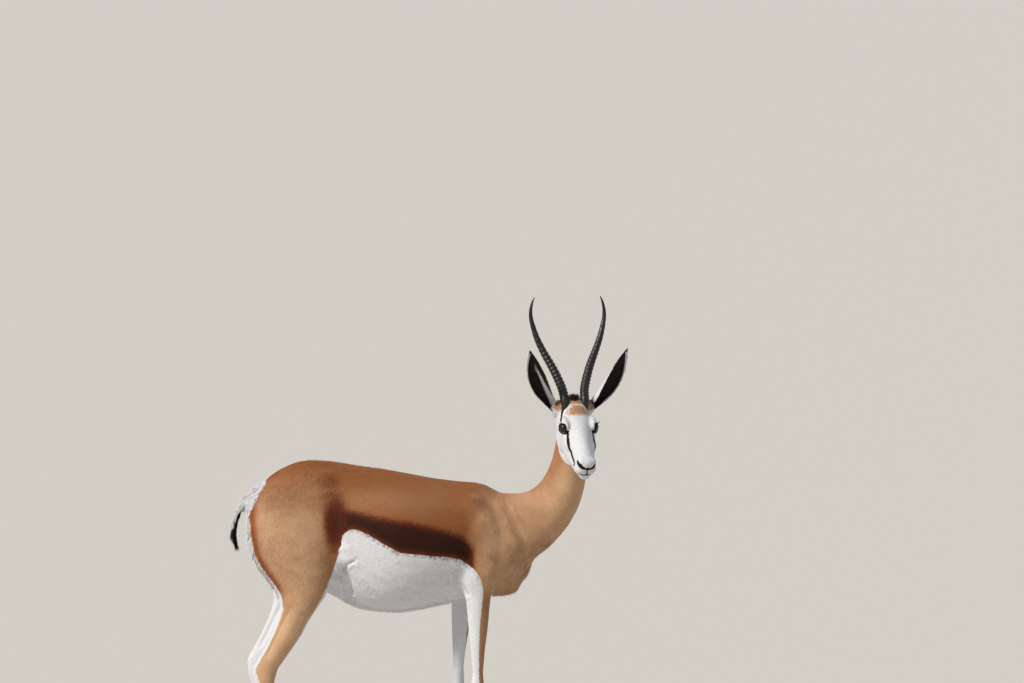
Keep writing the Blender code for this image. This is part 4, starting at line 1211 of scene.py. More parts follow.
def chart(spots, labels):
    """Place of each spot on the skin unrolled: metres round its part's axis and metres along it,
    and the part's girth."""
    unrolled = np.zeros((len(spots), 2))
    girth = np.ones(len(spots))
    for number, name in enumerate(LABELS):
        here = labels == number
        if not here.any():
            continue
        axis = np.array(AXES[name], float)
        steps = np.linalg.norm(np.diff(axis, axis=0), axis=1)
        _reach, share = line_distance(spots[here], axis)
        stations, knots = share * (len(axis) - 1), np.arange(len(axis))
        along = np.interp(stations, knots, np.concatenate([[0], np.cumsum(steps)]))
        on_axis = np.stack([np.interp(stations, knots, axis[:, i]) for i in range(3)], axis=1)
        way = (axis[-1] - axis[0]) / np.linalg.norm(axis[-1] - axis[0])
        level = np.cross(way, (0.02, 1.0, 0.03) if abs(way[1]) < 0.8 else (0.0, 0.02, 1.0))
        level /= np.linalg.norm(level)
        other = np.cross(way, level)
        out = spots[here] - on_axis
        angle = np.arctan2(out @ other, out @ level)
        radius = np.median(np.linalg.norm(out, axis=1))
        unrolled[here] = np.stack([angle * radius, along], axis=1)
        girth[here] = 2 * np.pi * radius
    return unrolled, girth


# Streaks of short hair to the metre round a part and along it, and how far apart the parts' patterns are
STREAKS_ROUND = 900
STREAKS_ALONG = 110
PATTERN_GAP = 7.0


def lie_attribute(mesh, regions):
    """Coordinates that run along the lie of the coat, for the streaks of the short hair."""
    corners = column(mesh.loops, "vertex_index")
    middles = column(mesh.polygons, "center", 3, np.float32)
    labels = np.repeat(regions.of(middles), column(mesh.polygons, "loop_total"))
    placed, girth = chart(spots_of(mesh)[corners], labels)
    first = np.repeat(placed[::3, 0], 3)
    round_part = placed[:, 0] - girth * np.round((placed[:, 0] - first) / girth)
    lie = [round_part * STREAKS_ROUND, placed[:, 1] * STREAKS_ALONG, labels * PATTERN_GAP]
    store_places(mesh, "lie", np.stack(lie, axis=1), "CORNER")
    highest = np.full(len(mesh.vertices), -1)
    lowest = np.full(len(mesh.vertices), len(LABELS))
    np.maximum.at(highest, corners, labels)
    np.minimum.at(lowest, corners, labels)
    store(mesh, "calm", highest == lowest)


def lie_of(spots, normals, labels, random):
    """Direction in which the hair lies at each spot, along the surface."""
    total = np.zeros((len(spots), 3))
    for name, axis in AXES.items():
        if name.startswith(("ear", "tail")):
            allowed = labels == LABELS.index(name)
        elif name == "head":
            allowed = is_part(labels, "head", "neck")
        else:
            allowed = ~is_part(labels, "ear", "tail", "head")
        if not allowed.any():
            continue
        axis = np.array(axis, float)
        for a, b in zip(axis, axis[1:]):
            way = (b - a) / np.linalg.norm(b - a)
            reach = line_distance(spots[allowed], [a, b])[0]
            total[allowed] += way * (1 / (reach**2 + 0.0004) ** 2)[:, None]
    total = unit(total)
    hang = np.where(is_part(labels, "ear"), 0.0, np.where(is_part(labels, "head"), 0.10, 0.30))
    total[:, 2] -= hang
    total += random.normal(0, 0.10, total.shape)
    total -= normals * np.sum(total * normals, axis=1)[:, None]
    return unit(total)


class Skin:
    """The finished skin as arrays, for growing hair on."""

    def __init__(self, thing, regions):
        mesh = thing.data
        mesh.calc_loop_triangles()
        self.triangles = column(mesh.loop_triangles, "vertices", 3)
        self.spots = spots_of(mesh)
        self.normals = normals_of(mesh)
        a, b, c = (self.spots[self.triangles[:, i]] for i in range(3))
        self.areas = np.linalg.norm(np.cross(b - a, c - a), axis=1) / 2
        self.middles = (a + b + c) / 3
        self.labels = regions.of(self.middles)

    def roots(self, density, random):
        """Spots spread over the skin, with so many to the square metre on each triangle."""
        expected = density * self.areas
        chosen = np.repeat(np.arange(len(expected)), random.poisson(expected))
        first, second = random.random(len(chosen)), random.random(len(chosen))
        flip = first + second > 1
        first[flip], second[flip] = 1 - first[flip], 1 - second[flip]
        weights = np.stack([1 - first - second, first, second], axis=1)[:, :, None]
        corners = self.triangles[chosen]
        spots = (self.spots[corners] * weights).sum(axis=1)
        normals = unit((self.normals[corners] * weights).sum(axis=1))
        return spots, normals, self.labels[chosen]


# The map on the coat: cells of the unrolled parts, the margin in a cell and the size of a tuft's patch
MAP_CELLS = (4, 3)
MAP_MARGIN = 0.02
MAP_PATCH = 0.0015
# Tufts: how deep they are rooted, how much they differ, and how fast their width falls off
ROOT_DEPTH = 0.0006
LENGTHS = (0.75, 1.2)
WIDTHS = (0.8, 1.2)
LIFTS = (0.7, 1.3)
TAPER = 0.7
# Their shading: how it leans to the sides and at the tip, and the shade of a tuft and from root to tip
SIDE_LEAN = 0.55
TIP_LEAN = 0.35
SHADE_SPREAD = 0.07
SHADES = (0.7, 1.3)
ROOT_SHADE, SHADE_GAIN, TIP_SHADE = 0.94, 0.12, 1.10


def unwrapped(spots, labels):
    """The root's place on the unrolled skin, inside the unit square."""
    placed, _girth = chart(spots, labels)
    made = np.zeros_like(placed)
    for number in np.unique(labels):
        here = labels == number
        low, high = placed[here].min(axis=0), placed[here].max(axis=0)
        share = (placed[here] - low) / np.maximum(high - low, 1e-6)
        cell = np.array((number % MAP_CELLS[0], number // MAP_CELLS[0]))
        made[here] = (cell + MAP_MARGIN + (1 - 2 * MAP_MARGIN) * share) / MAP_CELLS
    return made


def tuft_faces(levels):
    """Corners of one tuft's faces: its foot, the bands between its rings and its tip."""
    faces = [(0, 1, 2)]
    for level in range(levels - 1):
        low, high = 3 * level, 3 * level + 3
        for i in range(3):
            j = (i + 1) % 3
            faces += [(low + j, low + i, high + i), (low + j, high + i, high + j)]
    last = 3 * (levels - 1)
    faces += [(last + (i + 1) % 3, last + i, last + 3) for i in range(3)]
    return np.array(faces)


def grow(name, roots, normals, labels, length, width, lift, droop=0.0, levels=1, lie=None, paint=()):
    """Tufts as one mesh. Each is a closed sliver with a ridge, lying along the coat; with more than
    one level it bends down towards its tip by droop."""
    random = np.random.default_rng(SEED + len(roots))
    count = len(roots)
    ways = lie_of(roots, normals, labels, random) if lie is None else lie
    beside = across(ways, normals)
    length = np.broadcast_to(length, count) * random.uniform(*LENGTHS, count)
    width = np.broadcast_to(width, count) * random.uniform(*WIDTHS, count)
    lift = np.broadcast_to(lift, count) * random.uniform(*LIFTS, count)
    shares = np.arange(levels + 1) / levels
    rings, ring_normals = [], []
    spine = roots - normals * ROOT_DEPTH
    previous = 0.0
    for share in shares:
        angle = lift * (1 - droop * share)
        step = (ways * np.cos(angle)[:, None] + normals * np.sin(angle)[:, None])
        spine = spine + step * (length * (share - previous))[:, None]
        previous = share
        if share < 1:
            half = width * (0.5 if share == 0 else 0.5 * (1 - share) ** TAPER)
            ridge = spine + normals * (half * 0.5)[:, None]
            rings += [spine - beside * half[:, None], spine + beside * half[:, None], ridge]
            leaning = beside * SIDE_LEAN
            ring_normals += [unit(normals - leaning), unit(normals + leaning), normals]
    points = np.stack([*rings, spine], axis=1)
    ring_normals.append(unit(normals + ways * TIP_LEAN))
    per_tuft = points.shape[1]
    corners = tuft_faces(levels)[None] + (np.arange(count) * per_tuft)[:, None, None]
    mesh = bpy.data.meshes.new(name)
    build_triangles(mesh, points.reshape(-1, 3), corners.reshape(-1, 3))
    for field, values in (fields_of(roots, normals, labels) | dict(paint)).items():
        store(mesh, field, np.repeat(np.broadcast_to(values, count), per_tuft))
    shades = np.clip(random.normal(1.0, SHADE_SPREAD, count), *SHADES)
    tips = np.concatenate([np.repeat(ROOT_SHADE + SHADE_GAIN * shares[:-1], 3), [TIP_SHADE]])
    store(mesh, "shade", (shades[:, None] * tips[None]).ravel())
    around = np.linspace(0, 2 * np.pi, per_tuft, endpoint=False)
    patch = np.stack([np.cos(around), np.sin(around)], axis=1) * MAP_PATCH
    places = (unwrapped(roots, labels)[:, None] + patch[None]).reshape(-1, 2)
    layer = mesh.uv_layers.new(name="OFBake")
    layer.data.foreach_set("uv", places[corners.ravel()].astype(np.float32).ravel())
    return object_from(name, mesh), np.stack(ring_normals, axis=1).reshape(-1, 3)


def build_triangles(mesh, points, corners):
    mesh.vertices.add(len(points))
    mesh.vertices.foreach_set("co", points.astype(np.float32).ravel())
    mesh.loops.add(corners.size)
    mesh.loops.foreach_set("vertex_index", corners.astype(np.int32).ravel())
    mesh.polygons.add(len(corners))
    mesh.polygons.foreach_set("loop_start", (np.arange(len(corners)) * 3).astype(np.int32))
    mesh.update(calc_edges=True)
    mesh.validate()


def coat_piece(name, slot, grown):
    """Finishes a mesh of tufts; its shading follows the coat, as hair seen from afar does."""
    thing, normals = grown
    finish_piece(thing, slot, coat_material(name + "_hair"))
    thing.data.normals_split_custom_set_from_vertices(normals)


# Hair of each part: tufts to the square metre, length as a share of its setting, width and lift
BODY = Zone(175000, 0.95, 0.00160, math.radians(3.8))
LEG = Zone(260000, 1.0, 0.00105, math.radians(4.5))
FACE = Zone(520000, 1.0, 0.00074, math.radians(5.5))
LEAF = Zone(230000, 1.1, 0.00090, math.radians(7))
MAX_TUFTS = 48000
MIN_TUFTS = 40
# No short hair this near to the lines of the face, or on the eye as a share of its opening
BARE_LINES = (("nostril", 0.0058), ("nose", 0.0034), ("mouth", 0.0016))
BARE_EYE = 1.16
BARE_REACH = 0.026

# Longer hair; the lift is in degrees, the lean is along x and away from the middle, and a length of None
# is the one in the settings
FRINGES = {
    "rump": Fringe("white_coat", 110000.0, None, 0.0024, 12, 0.6, (-0.35, 0.3)),
    "thighs": Fringe("white_coat", 110000.0, None, 0.0024, 16, 0.5, (-0.2, 0.3)),
    "tail": Fringe("white_coat", 420000.0, 0.021, 0.0013, 17, 0.5),
    "belly": Fringe("white_coat", 42000.0, 0.017, 0.0013, 14, 0.2),
    "breast": Fringe("fawn_coat", 52000.0, 0.016, 0.0013, 14, 0.2),
    "poll": Fringe("fawn_coat", 900000.0, 0.015, 0.0010, 48, 0.7),
    "coronet": Fringe("white_coat", 260000.0, 0.0095, 0.0010, 12, 0.0),
    "ear_feet": Fringe("fawn_coat", 420000.0, 0.0105, 0.0009, 17, 0.5),
    "ear_rims": Fringe("ear_skin", 300000.0, 0.0065, 0.0007, 7, 0.2),
    "in_ears": Fringe("ear_skin", 330000.0, 0.019, 0.0007, 6, 0.2, paint={"white": 0.01, "black": -0.01}),
}
# Where it grows: heights, distances from the middle and from a foot or a rim, and places along x
RUMP_HAIR_Z = (0.47, 0.748)
RUMP_HAIR_PARTING = 0.655
RUMP_HAIR_ASIDE = 0.085
BELLY_HAIR_X = (-0.22, 0.12)
BELLY_HAIR_TOP = 0.46
BELLY_HAIR_ASIDE = 0.060
BREAST_HAIR_X = 0.19
BREAST_HAIR_TOP = 0.60
POLL_HAIR_RADIUS = 0.011
CORONET_Z = (0.028, 0.042)
EAR_FEET_RADIUS = 0.027
EAR_RIM_WIDTH = 0.0035
EAR_ROW_HALF = 0.0013


def skin_and_regions():
    regions = Regions()
    return Skin(bpy.data.objects["skin"], regions)


class SPRINGBOK_OT_skin(bpy.types.Operator):
    """Join the flesh into one skin and shape its folds"""

    bl_idname = "springbok.skin"
    bl_label = "Skin"

    def execute(self, context):
        looks = context.scene.springbok_skin
        grid = looks.grid * 1.0
        skin = join_flesh(grid)
        soften(skin, grid)
        spots, normals = spots_of(skin.data), normals_of(skin.data)
        spots = spots - normals * (coat_depth(spots) + 0.0006)[:, None]
        move_to(skin.data, spots)
        move_to(skin.data, carve_body(spots, normals_of(skin.data)))
        spots = spots_of(skin.data)
        move_to(skin.data, carve_face(spots, normals_of(skin.data)))
        triangles = looks.triangles // 1
        apply_modifier(skin, "TRIANGULATE")
        group = weigh(skin, "coarse", 1.0 - np.round(head_share(spots_of(skin.data))))
        apply_modifier(skin, "DECIMATE", ratio=triangles / len(skin.data.polygons), vertex_group=group,
                       vertex_group_factor=1.0)
        skin.vertex_groups.clear()
        regions = Regions()
        spots, normals = spots_of(skin.data), normals_of(skin.data)
        for field, values in fields_of(spots, normals, regions.of(spots)).items():
            store(skin.data, field, values)
        lie_attribute(skin.data, regions)
        finish_piece(skin, "fawn_coat", skin_material(), *FLESH, *EARS)
        return {"FINISHED"}


# Colours of the bare parts, as shares of light
IRIS_DARK, IRIS_LIGHT = (0.006, 0.003, 0.002), (0.018, 0.009, 0.005)
PUPIL = (0.002, 0.002, 0.003)
EYE_EDGE = (0.035, 0.024, 0.018)
LID = (0.008, 0.006, 0.006)
LASH = (0.006, 0.005, 0.005)
HOOF_DARK, HOOF_LIGHT = (0.011, 0.009, 0.008), (0.040, 0.034, 0.029)
HOOF_DUST = (0.10, 0.085, 0.065)

# The eyeball: how far its front bulges, and within which angle, its level pupil and its dark edge
BULGE = 0.045
BULGE_ANGLE = math.radians(46)
PUPIL_HALF = (0.0072, 0.0040)
EDGE_ANGLE = math.radians(50)
# The ring along the lids: points along it and round it, its half height and width, and how it stands out
RING_POINTS = 64
RING_SIDES = 10
RING_HALF_HEIGHT = 0.0013
RING_HALF_WIDTH = 0.0016
RING_STAND = 0.0005
# The lashes of one eye
LASHES = 34
LASH_LENGTH = 0.0095
LASH_WIDTH = 0.0006
LASH_DROOP = -1.2


def turns(count):
    """Angles spread evenly round a circle."""
    return np.arange(count) / count * 2 * math.pi


def eye_material(side):
    """Dark brown with a level pupil, under a wet clear front."""
    nodes = Nodes("eye_" + dict(SIDES)[side])
    iris = nodes.mix(nodes.ramp(nodes.noise(900.0), 0.35, 0.65), IRIS_DARK, IRIS_LIGHT)
    whole = nodes.mix(nodes.ramp(nodes.number("pupil"), -0.1, 0.1), iris, PUPIL)
    whole = nodes.mix(nodes.ramp(nodes.number("rim"), 0.0, 0.12), whole, EYE_EDGE)
    nodes.set(Base_Color=whole, Roughness=0.12, Specular_IOR_Level=0.35)
    nodes.set(Coat_Weight=0.5, Coat_Roughness=0.03)
    return nodes.material


class SPRINGBOK_OT_eyes(bpy.types.Operator):
    """Add the eyeballs and the dark edges of the lids"""

    bl_idname = "springbok.eyes"
    bl_label = "Eyes"

    def execute(self, context):
        for side, name in SIDES:
            middle, gaze, _corner, _upward = eye_frame(side)
            eye = ball("eyeball_" + name, EYE_RADIUS, segments=56, ring_count=36)
            spots = spots_of(eye.data)
            angle = np.arccos(np.clip(spots @ np.array(gaze) / EYE_RADIUS, -1, 1))
            spots *= (1 + BULGE * smooth(angle, BULGE_ANGLE, 0.0))[:, None]
            level = (UP - gaze * UP.dot(gaze)).normalized()
            wide, high = spots @ np.array(gaze.cross(level)), spots @ np.array(level)
            pupil = 1 - oval(wide, high, (0, 0), PUPIL_HALF)
            store(eye.data, "pupil", within(angle < 1.0, pupil))
            store(eye.data, "rim", angle - EDGE_ANGLE)
            move_to(eye.data, spots + np.array(middle))
            finish_piece(eye, "eye", eye_material(side), "eye_" + name)
            self.lid(side, name)
        return {"FINISHED"}

    def lid(self, side, name):
        """The bare dark edge of the lids, a thin ring that lies on the eye."""
        rings = []
        for turn in turns(RING_POINTS):
            before, out, after = (lid_way(side, turn + shift) for shift in (-0.01, 0.0, 0.01))
            beside = (after - before).normalized().cross(out).normalized()
            spot = EYES[side] + out * (EYE_RADIUS + RING_STAND)
            rings.append([spot + out * (RING_HALF_HEIGHT * math.sin(around))
                          + beside * (RING_HALF_WIDTH * math.cos(around)) for around in turns(RING_SIDES)])
        lid = loft("lid_" + name, rings, closed=True)
        nodes = Nodes("lid_" + name)
        nodes.set(Base_Color=(*LID, 1.0), Roughness=0.35, Specular_IOR_Level=0.5)
        nodes.bump(nodes.noise(1400.0), 0.0003)
        finish_piece(lid, "ear_skin", nodes.material)


# The horn: steps between the points of its sweep and round it, its flatness, the part of the sweep that
# has rings, and how deep the gaps between them lie as a share of a ridge
HORN_STEPS = 26
HORN_SIDES = 28
HORN_FLATNESS = 0.94
RINGED_PART = (1.15, 7.1)
RING_GAP = 0.35


def horn_material(name):
    """Black-brown horn: fibres along it, paler on the ridges, glossier at the tip."""
    nodes = Nodes(name)
    base = tuple(bpy.context.scene.springbok_horns.colour)
    dark, pale, tip_dark = (tuple(c * share for c in base) for share in (0.45, 2.2, 0.35))
    fibres = nodes.noise(1.0, 3.0, nodes.places("lie"))
    tip = nodes.number("tip")
    whole = nodes.mix(nodes.ramp(fibres, 0.3, 0.7), base, dark)
    whole = nodes.mix(nodes.ramp(nodes.number("ridge"), 0.55, 1.0, 0.0, 0.5), whole, pale)
    whole = nodes.mix(nodes.ramp(tip, 0.55, 1.0), whole, tip_dark)
    roughness = nodes.ramp(tip, 0.5, 0.9, 0.42, 0.24)
    nodes.set(Base_Color=whole, Roughness=roughness, Specular_IOR_Level=0.5)
    nodes.bump(fibres, 0.0005, 0.6)
    return nodes.material


def ring_wave(share, rings):
    """Height of the rings at a share of the ringed part: above 0 on a ridge, below it in a gap."""
    if not 0 < share < 1:
        return 0.0
    phase = (1 - (1 - share) ** 1.25) * rings
    wave = max(0.0, math.sin(2 * math.pi * phase)) ** 0.6 - RING_GAP
    return wave * (min(1.0, share * 12) * (1 - share) ** 0.45)


class SPRINGBOK_OT_horns(bpy.types.Operator):
    """Add the ringed horns"""

    bl_idname = "springbok.horns"
    bl_label = "Horns"

    def execute(self, context):
        looks = context.scene.springbok_horns
        rows = through(HORN_SWEEP, HORN_STEPS)
        last = len(rows) - 1
        first_ring, last_ring = (HORN_STEPS * part for part in RINGED_PART)
        for side, name in SIDES:
            foot = on_head(HORN_FOOT, side)
            spots = []
            for up, out, back, _radius in rows:
                spots.append(foot + Vector((0, 0, up)) + LEFT * (side * out) - AHEAD * back)
            rings, ridges, lies = [], [], []
            for i in range(last + 1):
                along = (spots[min(i + 1, last)] - spots[max(i - 1, 0)]).normalized()
                beside = (LEFT - along * LEFT.dot(along)).normalized()
                front = along.cross(beside)
                wave = ring_wave((i - first_ring) / (last_ring - first_ring), looks.rings)
                radius = HORN_BASE_RADIUS * rows[i][3]
                ring = []
                for angle in turns(HORN_SIDES):
                    fore = 0.5 + 0.5 * math.cos(angle + math.pi / 2)
                    stand = looks.ring_depth * wave * (0.45 + 0.75 * fore)
                    way = beside * math.cos(angle) * HORN_FLATNESS + front * math.sin(angle)
                    ring.append(spots[i] + way * (radius + stand))
                    ridges.append(max(0.0, wave) / (1 - RING_GAP))
                    lies.append((math.cos(angle) * 9, math.sin(angle) * 9, i * 0.10))
                rings.append(ring)
            horn = loft("horn_" + name + "_ringed", rings)
            store(horn.data, "ridge", ridges)
            store(horn.data, "tip", np.repeat(np.arange(last + 1) / last, HORN_SIDES))
            store_places(horn.data, "lie", lies, "POINT")
            finish_piece(horn, "horn", horn_material("horn_" + name), "horn_" + name)
        return {"FINISHED"}


# The claw: its rounded edge, the grid it is smoothed on, and the depth and spacing of its growth rings
CLAW_EDGE = 0.0012
CLAW_GRID = 0.0008
CLAW_RING_DEPTH = 0.00022
CLAW_RING_SPACING = 0.0042
# The dewclaws: the fetlock's x, distance from the middle and z, and half sizes of a claw
FETLOCKS = {"fore": (0.120, 0.068, 0.084), "hind": (-0.395, 0.078, 0.085)}
DEWCLAW_HALF = (0.0058, 0.0048, 0.0085)
DEWCLAW_ASIDE = 0.0080
DEWCLAW_SINK = 0.0012
DEWCLAW_HOOK = 0.35


def hoof_material(name):
    """Dull black horn with growth rings and a dusty sole edge."""
    nodes = Nodes(name)
    height = nodes.new("SeparateXYZ", {0: nodes.place()}).outputs[2]
    waves = {"Vector": nodes.place(), "Scale": 130.0, "Distortion": 3.0, "Detail": 2.0}
    bands = nodes.new("TexWave", waves, bands_direction="Z").outputs[1]
    whole = nodes.mix(nodes.noise(500.0), HOOF_DARK, HOOF_LIGHT)
    whole = nodes.mix(nodes.ramp(height, 0.010, 0.0, 0.0, 0.5), whole, HOOF_DUST)
    nodes.set(Base_Color=whole, Roughness=nodes.ramp(nodes.noise(260.0), 0.3, 0.7, 0.38, 0.60))
    nodes.bump(bands, 0.0006, 0.5)
    return nodes.material


class SPRINGBOK_OT_hooves(bpy.types.Operator):
    """Add the claws and dewclaws"""

    bl_idname = "springbok.hooves"
    bl_label = "Hooves"

    def execute(self, context):
        for side, name in SIDES:
            for leg in ("fore", "hind"):
                for half in ("inner", "outer"):
                    self.claw(f"hoof_{leg}_{name}_{half}")
                self.dewclaws(leg, name, side)
        return {"FINISHED"}

    def claw(self, node):
        """The solid claw with its edges rounded and growth rings round its wall."""
        flat = {"angle_limit": math.radians(2)}
        claw = solid_copy(node.replace("hoof", "claw"), node, bpy.ops.mesh.dissolve_limited, **flat)
        sharp = math.radians(50)
        apply_modifier(claw, "BEVEL", width=CLAW_EDGE, segments=3, limit_method="ANGLE", angle_limit=sharp)
        apply_modifier(claw, "REMESH", mode="VOXEL", voxel_size=CLAW_GRID)
        apply_modifier(claw, "SMOOTH", factor=SMOOTHING, iterations=10)
        spots, normals = spots_of(claw.data), normals_of(claw.data)
        rings = CLAW_RING_DEPTH * np.sin(spots[:, 2] * 2 * np.pi / CLAW_RING_SPACING + 9 * spots[:, 0])
        wall = smooth(np.abs(normals[:, 2]), 0.8, 0.4) * smooth(spots[:, 2], 0.002, 0.006)
        spots = spots + normals * (rings * wall)[:, None]
        spots[:, 2] = np.maximum(spots[:, 2], 0.0)
        move_to(claw.data, spots)
        apply_modifier(claw, "DECIMATE", ratio=0.35, use_collapse_triangulate=True)
        finish_piece(claw, "hoof", hoof_material(claw.name), node)

    def dewclaws(self, leg, name, side):
        """The two small claws behind the fetlock."""
        x, y, z = leg_axis([FETLOCKS[leg]], side)[0]
        tree = tree_of(leg + "leg_" + name)
        for half in (-1, 1):
            start = Vector((x - 0.1, y + half * DEWCLAW_ASIDE, z))
            back = tree.ray_cast(start, Vector((1, 0, 0)))[0]
            place = "inner" if half * side < 0 else "outer"
            claw = ball(f"dewclaw_{leg}_{name}_{place}", 1.0, segments=20, ring_count=14)
            spots = spots_of(claw.data) * DEWCLAW_HALF
            spots[:, 0] -= DEWCLAW_HOOK * np.maximum(0, -spots[:, 2])
            move_to(claw.data, spots + np.array(back + Vector((DEWCLAW_SINK, 0, 0))))
            finish_piece(claw, "hoof", hoof_material(claw.name))


class SPRINGBOK_OT_coat(bpy.types.Operator):
    """Grow the short coat over the whole skin"""

    bl_idname = "springbok.coat"
    bl_label = "Short coat"

    def execute(self, context):
        looks = context.scene.springbok_coat
        skin = skin_and_regions()
        random = np.random.default_rng(SEED)
        fullness = looks.fullness * 1.0
        density = self.blend(skin.middles, skin.labels, "density")
        roots, normals, labels = skin.roots(density * fullness, random)
        length, width, lift = (self.blend(roots, labels, what) for what in ("length", "width", "lift"))
        white = white_field(roots, normals, labels) > 0
        groups = {
            "face": is_part(labels, "head"),
            "ears": is_part(labels, "ear"),
            "neck": is_part(labels, "neck"),
            "legs": leg_share(roots) > 0.5,
            "near_side": roots[:, 1] < MID_Y,
            "far_side": roots[:, 1] >= MID_Y,
        }
        taken = ~self.clear_of_openings(roots)
        for group, inside in groups.items():
            inside = inside & ~taken
            taken |= inside
            for tint, tinted in (("fawn", inside & ~white), ("white", inside & white)):
                chosen = np.nonzero(tinted)[0]
                for part, start in enumerate(range(0, len(chosen), MAX_TUFTS)):
                    some = chosen[start : start + MAX_TUFTS]
                    if len(some) < MIN_TUFTS:
                        continue
                    title = f"coat_{group}_{tint}" + ("" if part == 0 else f"_{part + 1}")
                    slot = "ear_skin" if group == "ears" else tint + "_coat"
                    measures = (values[some] for values in (roots, normals, labels, length, width, lift))
                    coat_piece(title, slot, grow(title, *measures))
        return {"FINISHED"}

    def blend(self, spots, labels, what):
        """A measure of the tufts, changing evenly from the body to legs and face."""
        looks = bpy.context.scene.springbok_coat
        zones = {"body": (BODY, looks.body_length), "leg": (LEG, looks.leg_length),
                 "face": (FACE, looks.face_length), "ear": (LEAF, looks.face_length)}
        full = {name: getattr(zone, what) * (length if what == "length" else 1.0)
                for name, (zone, length) in zones.items()}
        low = leg_share(spots)
        near = smooth(reach_from(spots, on_head(SKULL)), 0.165, 0.095)
        head = np.maximum(near, smooth(spots[:, 2], 0.90, 0.925))
        muzzle = smooth(in_head(spots)[:, 0], 0.05, 0.11) * head
        even = full["body"] * (1 - low) + full["leg"] * low
        even = even * (1 - head) + full["face"] * head
        if what in ("length", "width"):
            even = even * (1 - 0.4 * muzzle)
        if what == "density":
            even = even * (1 + 0.5 * muzzle)
        return np.where(is_part(labels, "ear"), full["ear"], even)

    def clear_of_openings(self, roots):
        """No hair on the eyes, in the nostrils or under the horns."""
        clear = np.ones(len(roots), bool)
        for side, _name in SIDES:
            reach, opening = eye_opening(roots, side)
            clear &= ~((reach < BARE_REACH) & (opening < BARE_EYE))
            clear &= reach_from(roots, on_head(HORN_FOOT, side)) > HORN_BASE_RADIUS * 0.95
        head = in_head(roots)
        for line, width in BARE_LINES:
            clear &= line_distance(head, FACE_LINES[line])[0] > width
        return clear


class SPRINGBOK_OT_fringes(bpy.types.Operator):
    """Grow the longer hair: rump, thighs, tail, belly, breast, poll, coronets and ears"""

    bl_idname = "springbok.fringes"
    bl_label = "Long hair"

    def execute(self, context):
        looks = context.scene.springbok_coat
        skin = skin_and_regions()
        random = np.random.default_rng(SEED + 1)
        for name, where in self.places(skin).items():
            fringe = FRINGES[name]
            self.hair(skin, "hair_" + name, where, fringe.length or looks.rump_length, fringe, random)
        return {"FINISHED"}

    def places(self, skin):
        """Where each kind of longer hair grows, 0 to 1 for each triangle of the skin."""
        x, aside, z = as_right_side(skin.middles).T
        trunk, neck, tail = (is_part(skin.labels, part) for part in ("trunk", "neck", "tail"))
        ways = unit(skin.normals[skin.triangles].sum(axis=1))
        white = white_field(skin.middles, ways, skin.labels) > 0
        rump = ~tail & white & (x < RUMP_X) & between(z, *RUMP_HAIR_Z) & (aside < RUMP_HAIR_ASIDE)
        rump &= outward_of(skin.middles, ways) > -0.15
        high = z > RUMP_HAIR_PARTING
        belly = trunk & (z < BELLY_HAIR_TOP) & (aside < BELLY_HAIR_ASIDE) & between(x, *BELLY_HAIR_X)
        breast = (trunk | neck) & (z < BREAST_HAIR_TOP) & (x > BREAST_HAIR_X)
        poll = reach_from(in_head(skin.middles), POLL_HAIR, POLL_STRETCH) < POLL_HAIR_RADIUS
        feet = np.minimum(*(reach_from(skin.middles, on_head(EAR_FOOT, side)) for side, _name in SIDES))
        feet = is_part(skin.labels, "head") & (feet < EAR_FEET_RADIUS)
        edges, rows = np.zeros(len(z)), np.zeros(len(z))
        for side, name in SIDES:
            here = is_part(skin.labels, "ear_" + name)
            share, medial, half, inner = ear_place(skin.middles[here], ways[here], side)
            rim = (1 - np.abs(medial)) * half
            edges[here] = (rim < EAR_RIM_WIDTH) * smooth(share, 0.98, 0.70) * (share > 0.0)
            for line, first, last in EAR_HAIR[side]:
                close = np.abs(medial - line * (1 - 0.4 * share)) * half < EAR_ROW_HALF
                rows[here] += inner * close * between(share, first, last)
        return {
            "rump": rump & high, "thighs": rump & ~high, "tail": tail, "belly": belly, "breast": breast,
            "poll": poll, "coronet": between(z, *CORONET_Z), "ear_feet": feet, "ear_rims": edges,
            "in_ears": rows,
        }

    def hair(self, skin, name, where, length, fringe, random):
        """Longer tufts in three bends."""
        density = where * fringe.density * 1.0
        roots, normals, labels = skin.roots(density, random)
        lie = lie_of(roots, normals, labels, random)
        if any(fringe.lean):
            lie[:, 0] += fringe.lean[0]
            lie[:, 1] += fringe.lean[1] * np.sign(roots[:, 1] - MID_Y)
            lie = unit(lie - normals * np.sum(lie * normals, axis=1)[:, None])
        lift = math.radians(fringe.lift)
        tufts = grow(name, roots, normals, labels, length, fringe.width, lift, fringe.droop, 3, lie,
                     fringe.paint)
        coat_piece(name, fringe.slot, tufts)


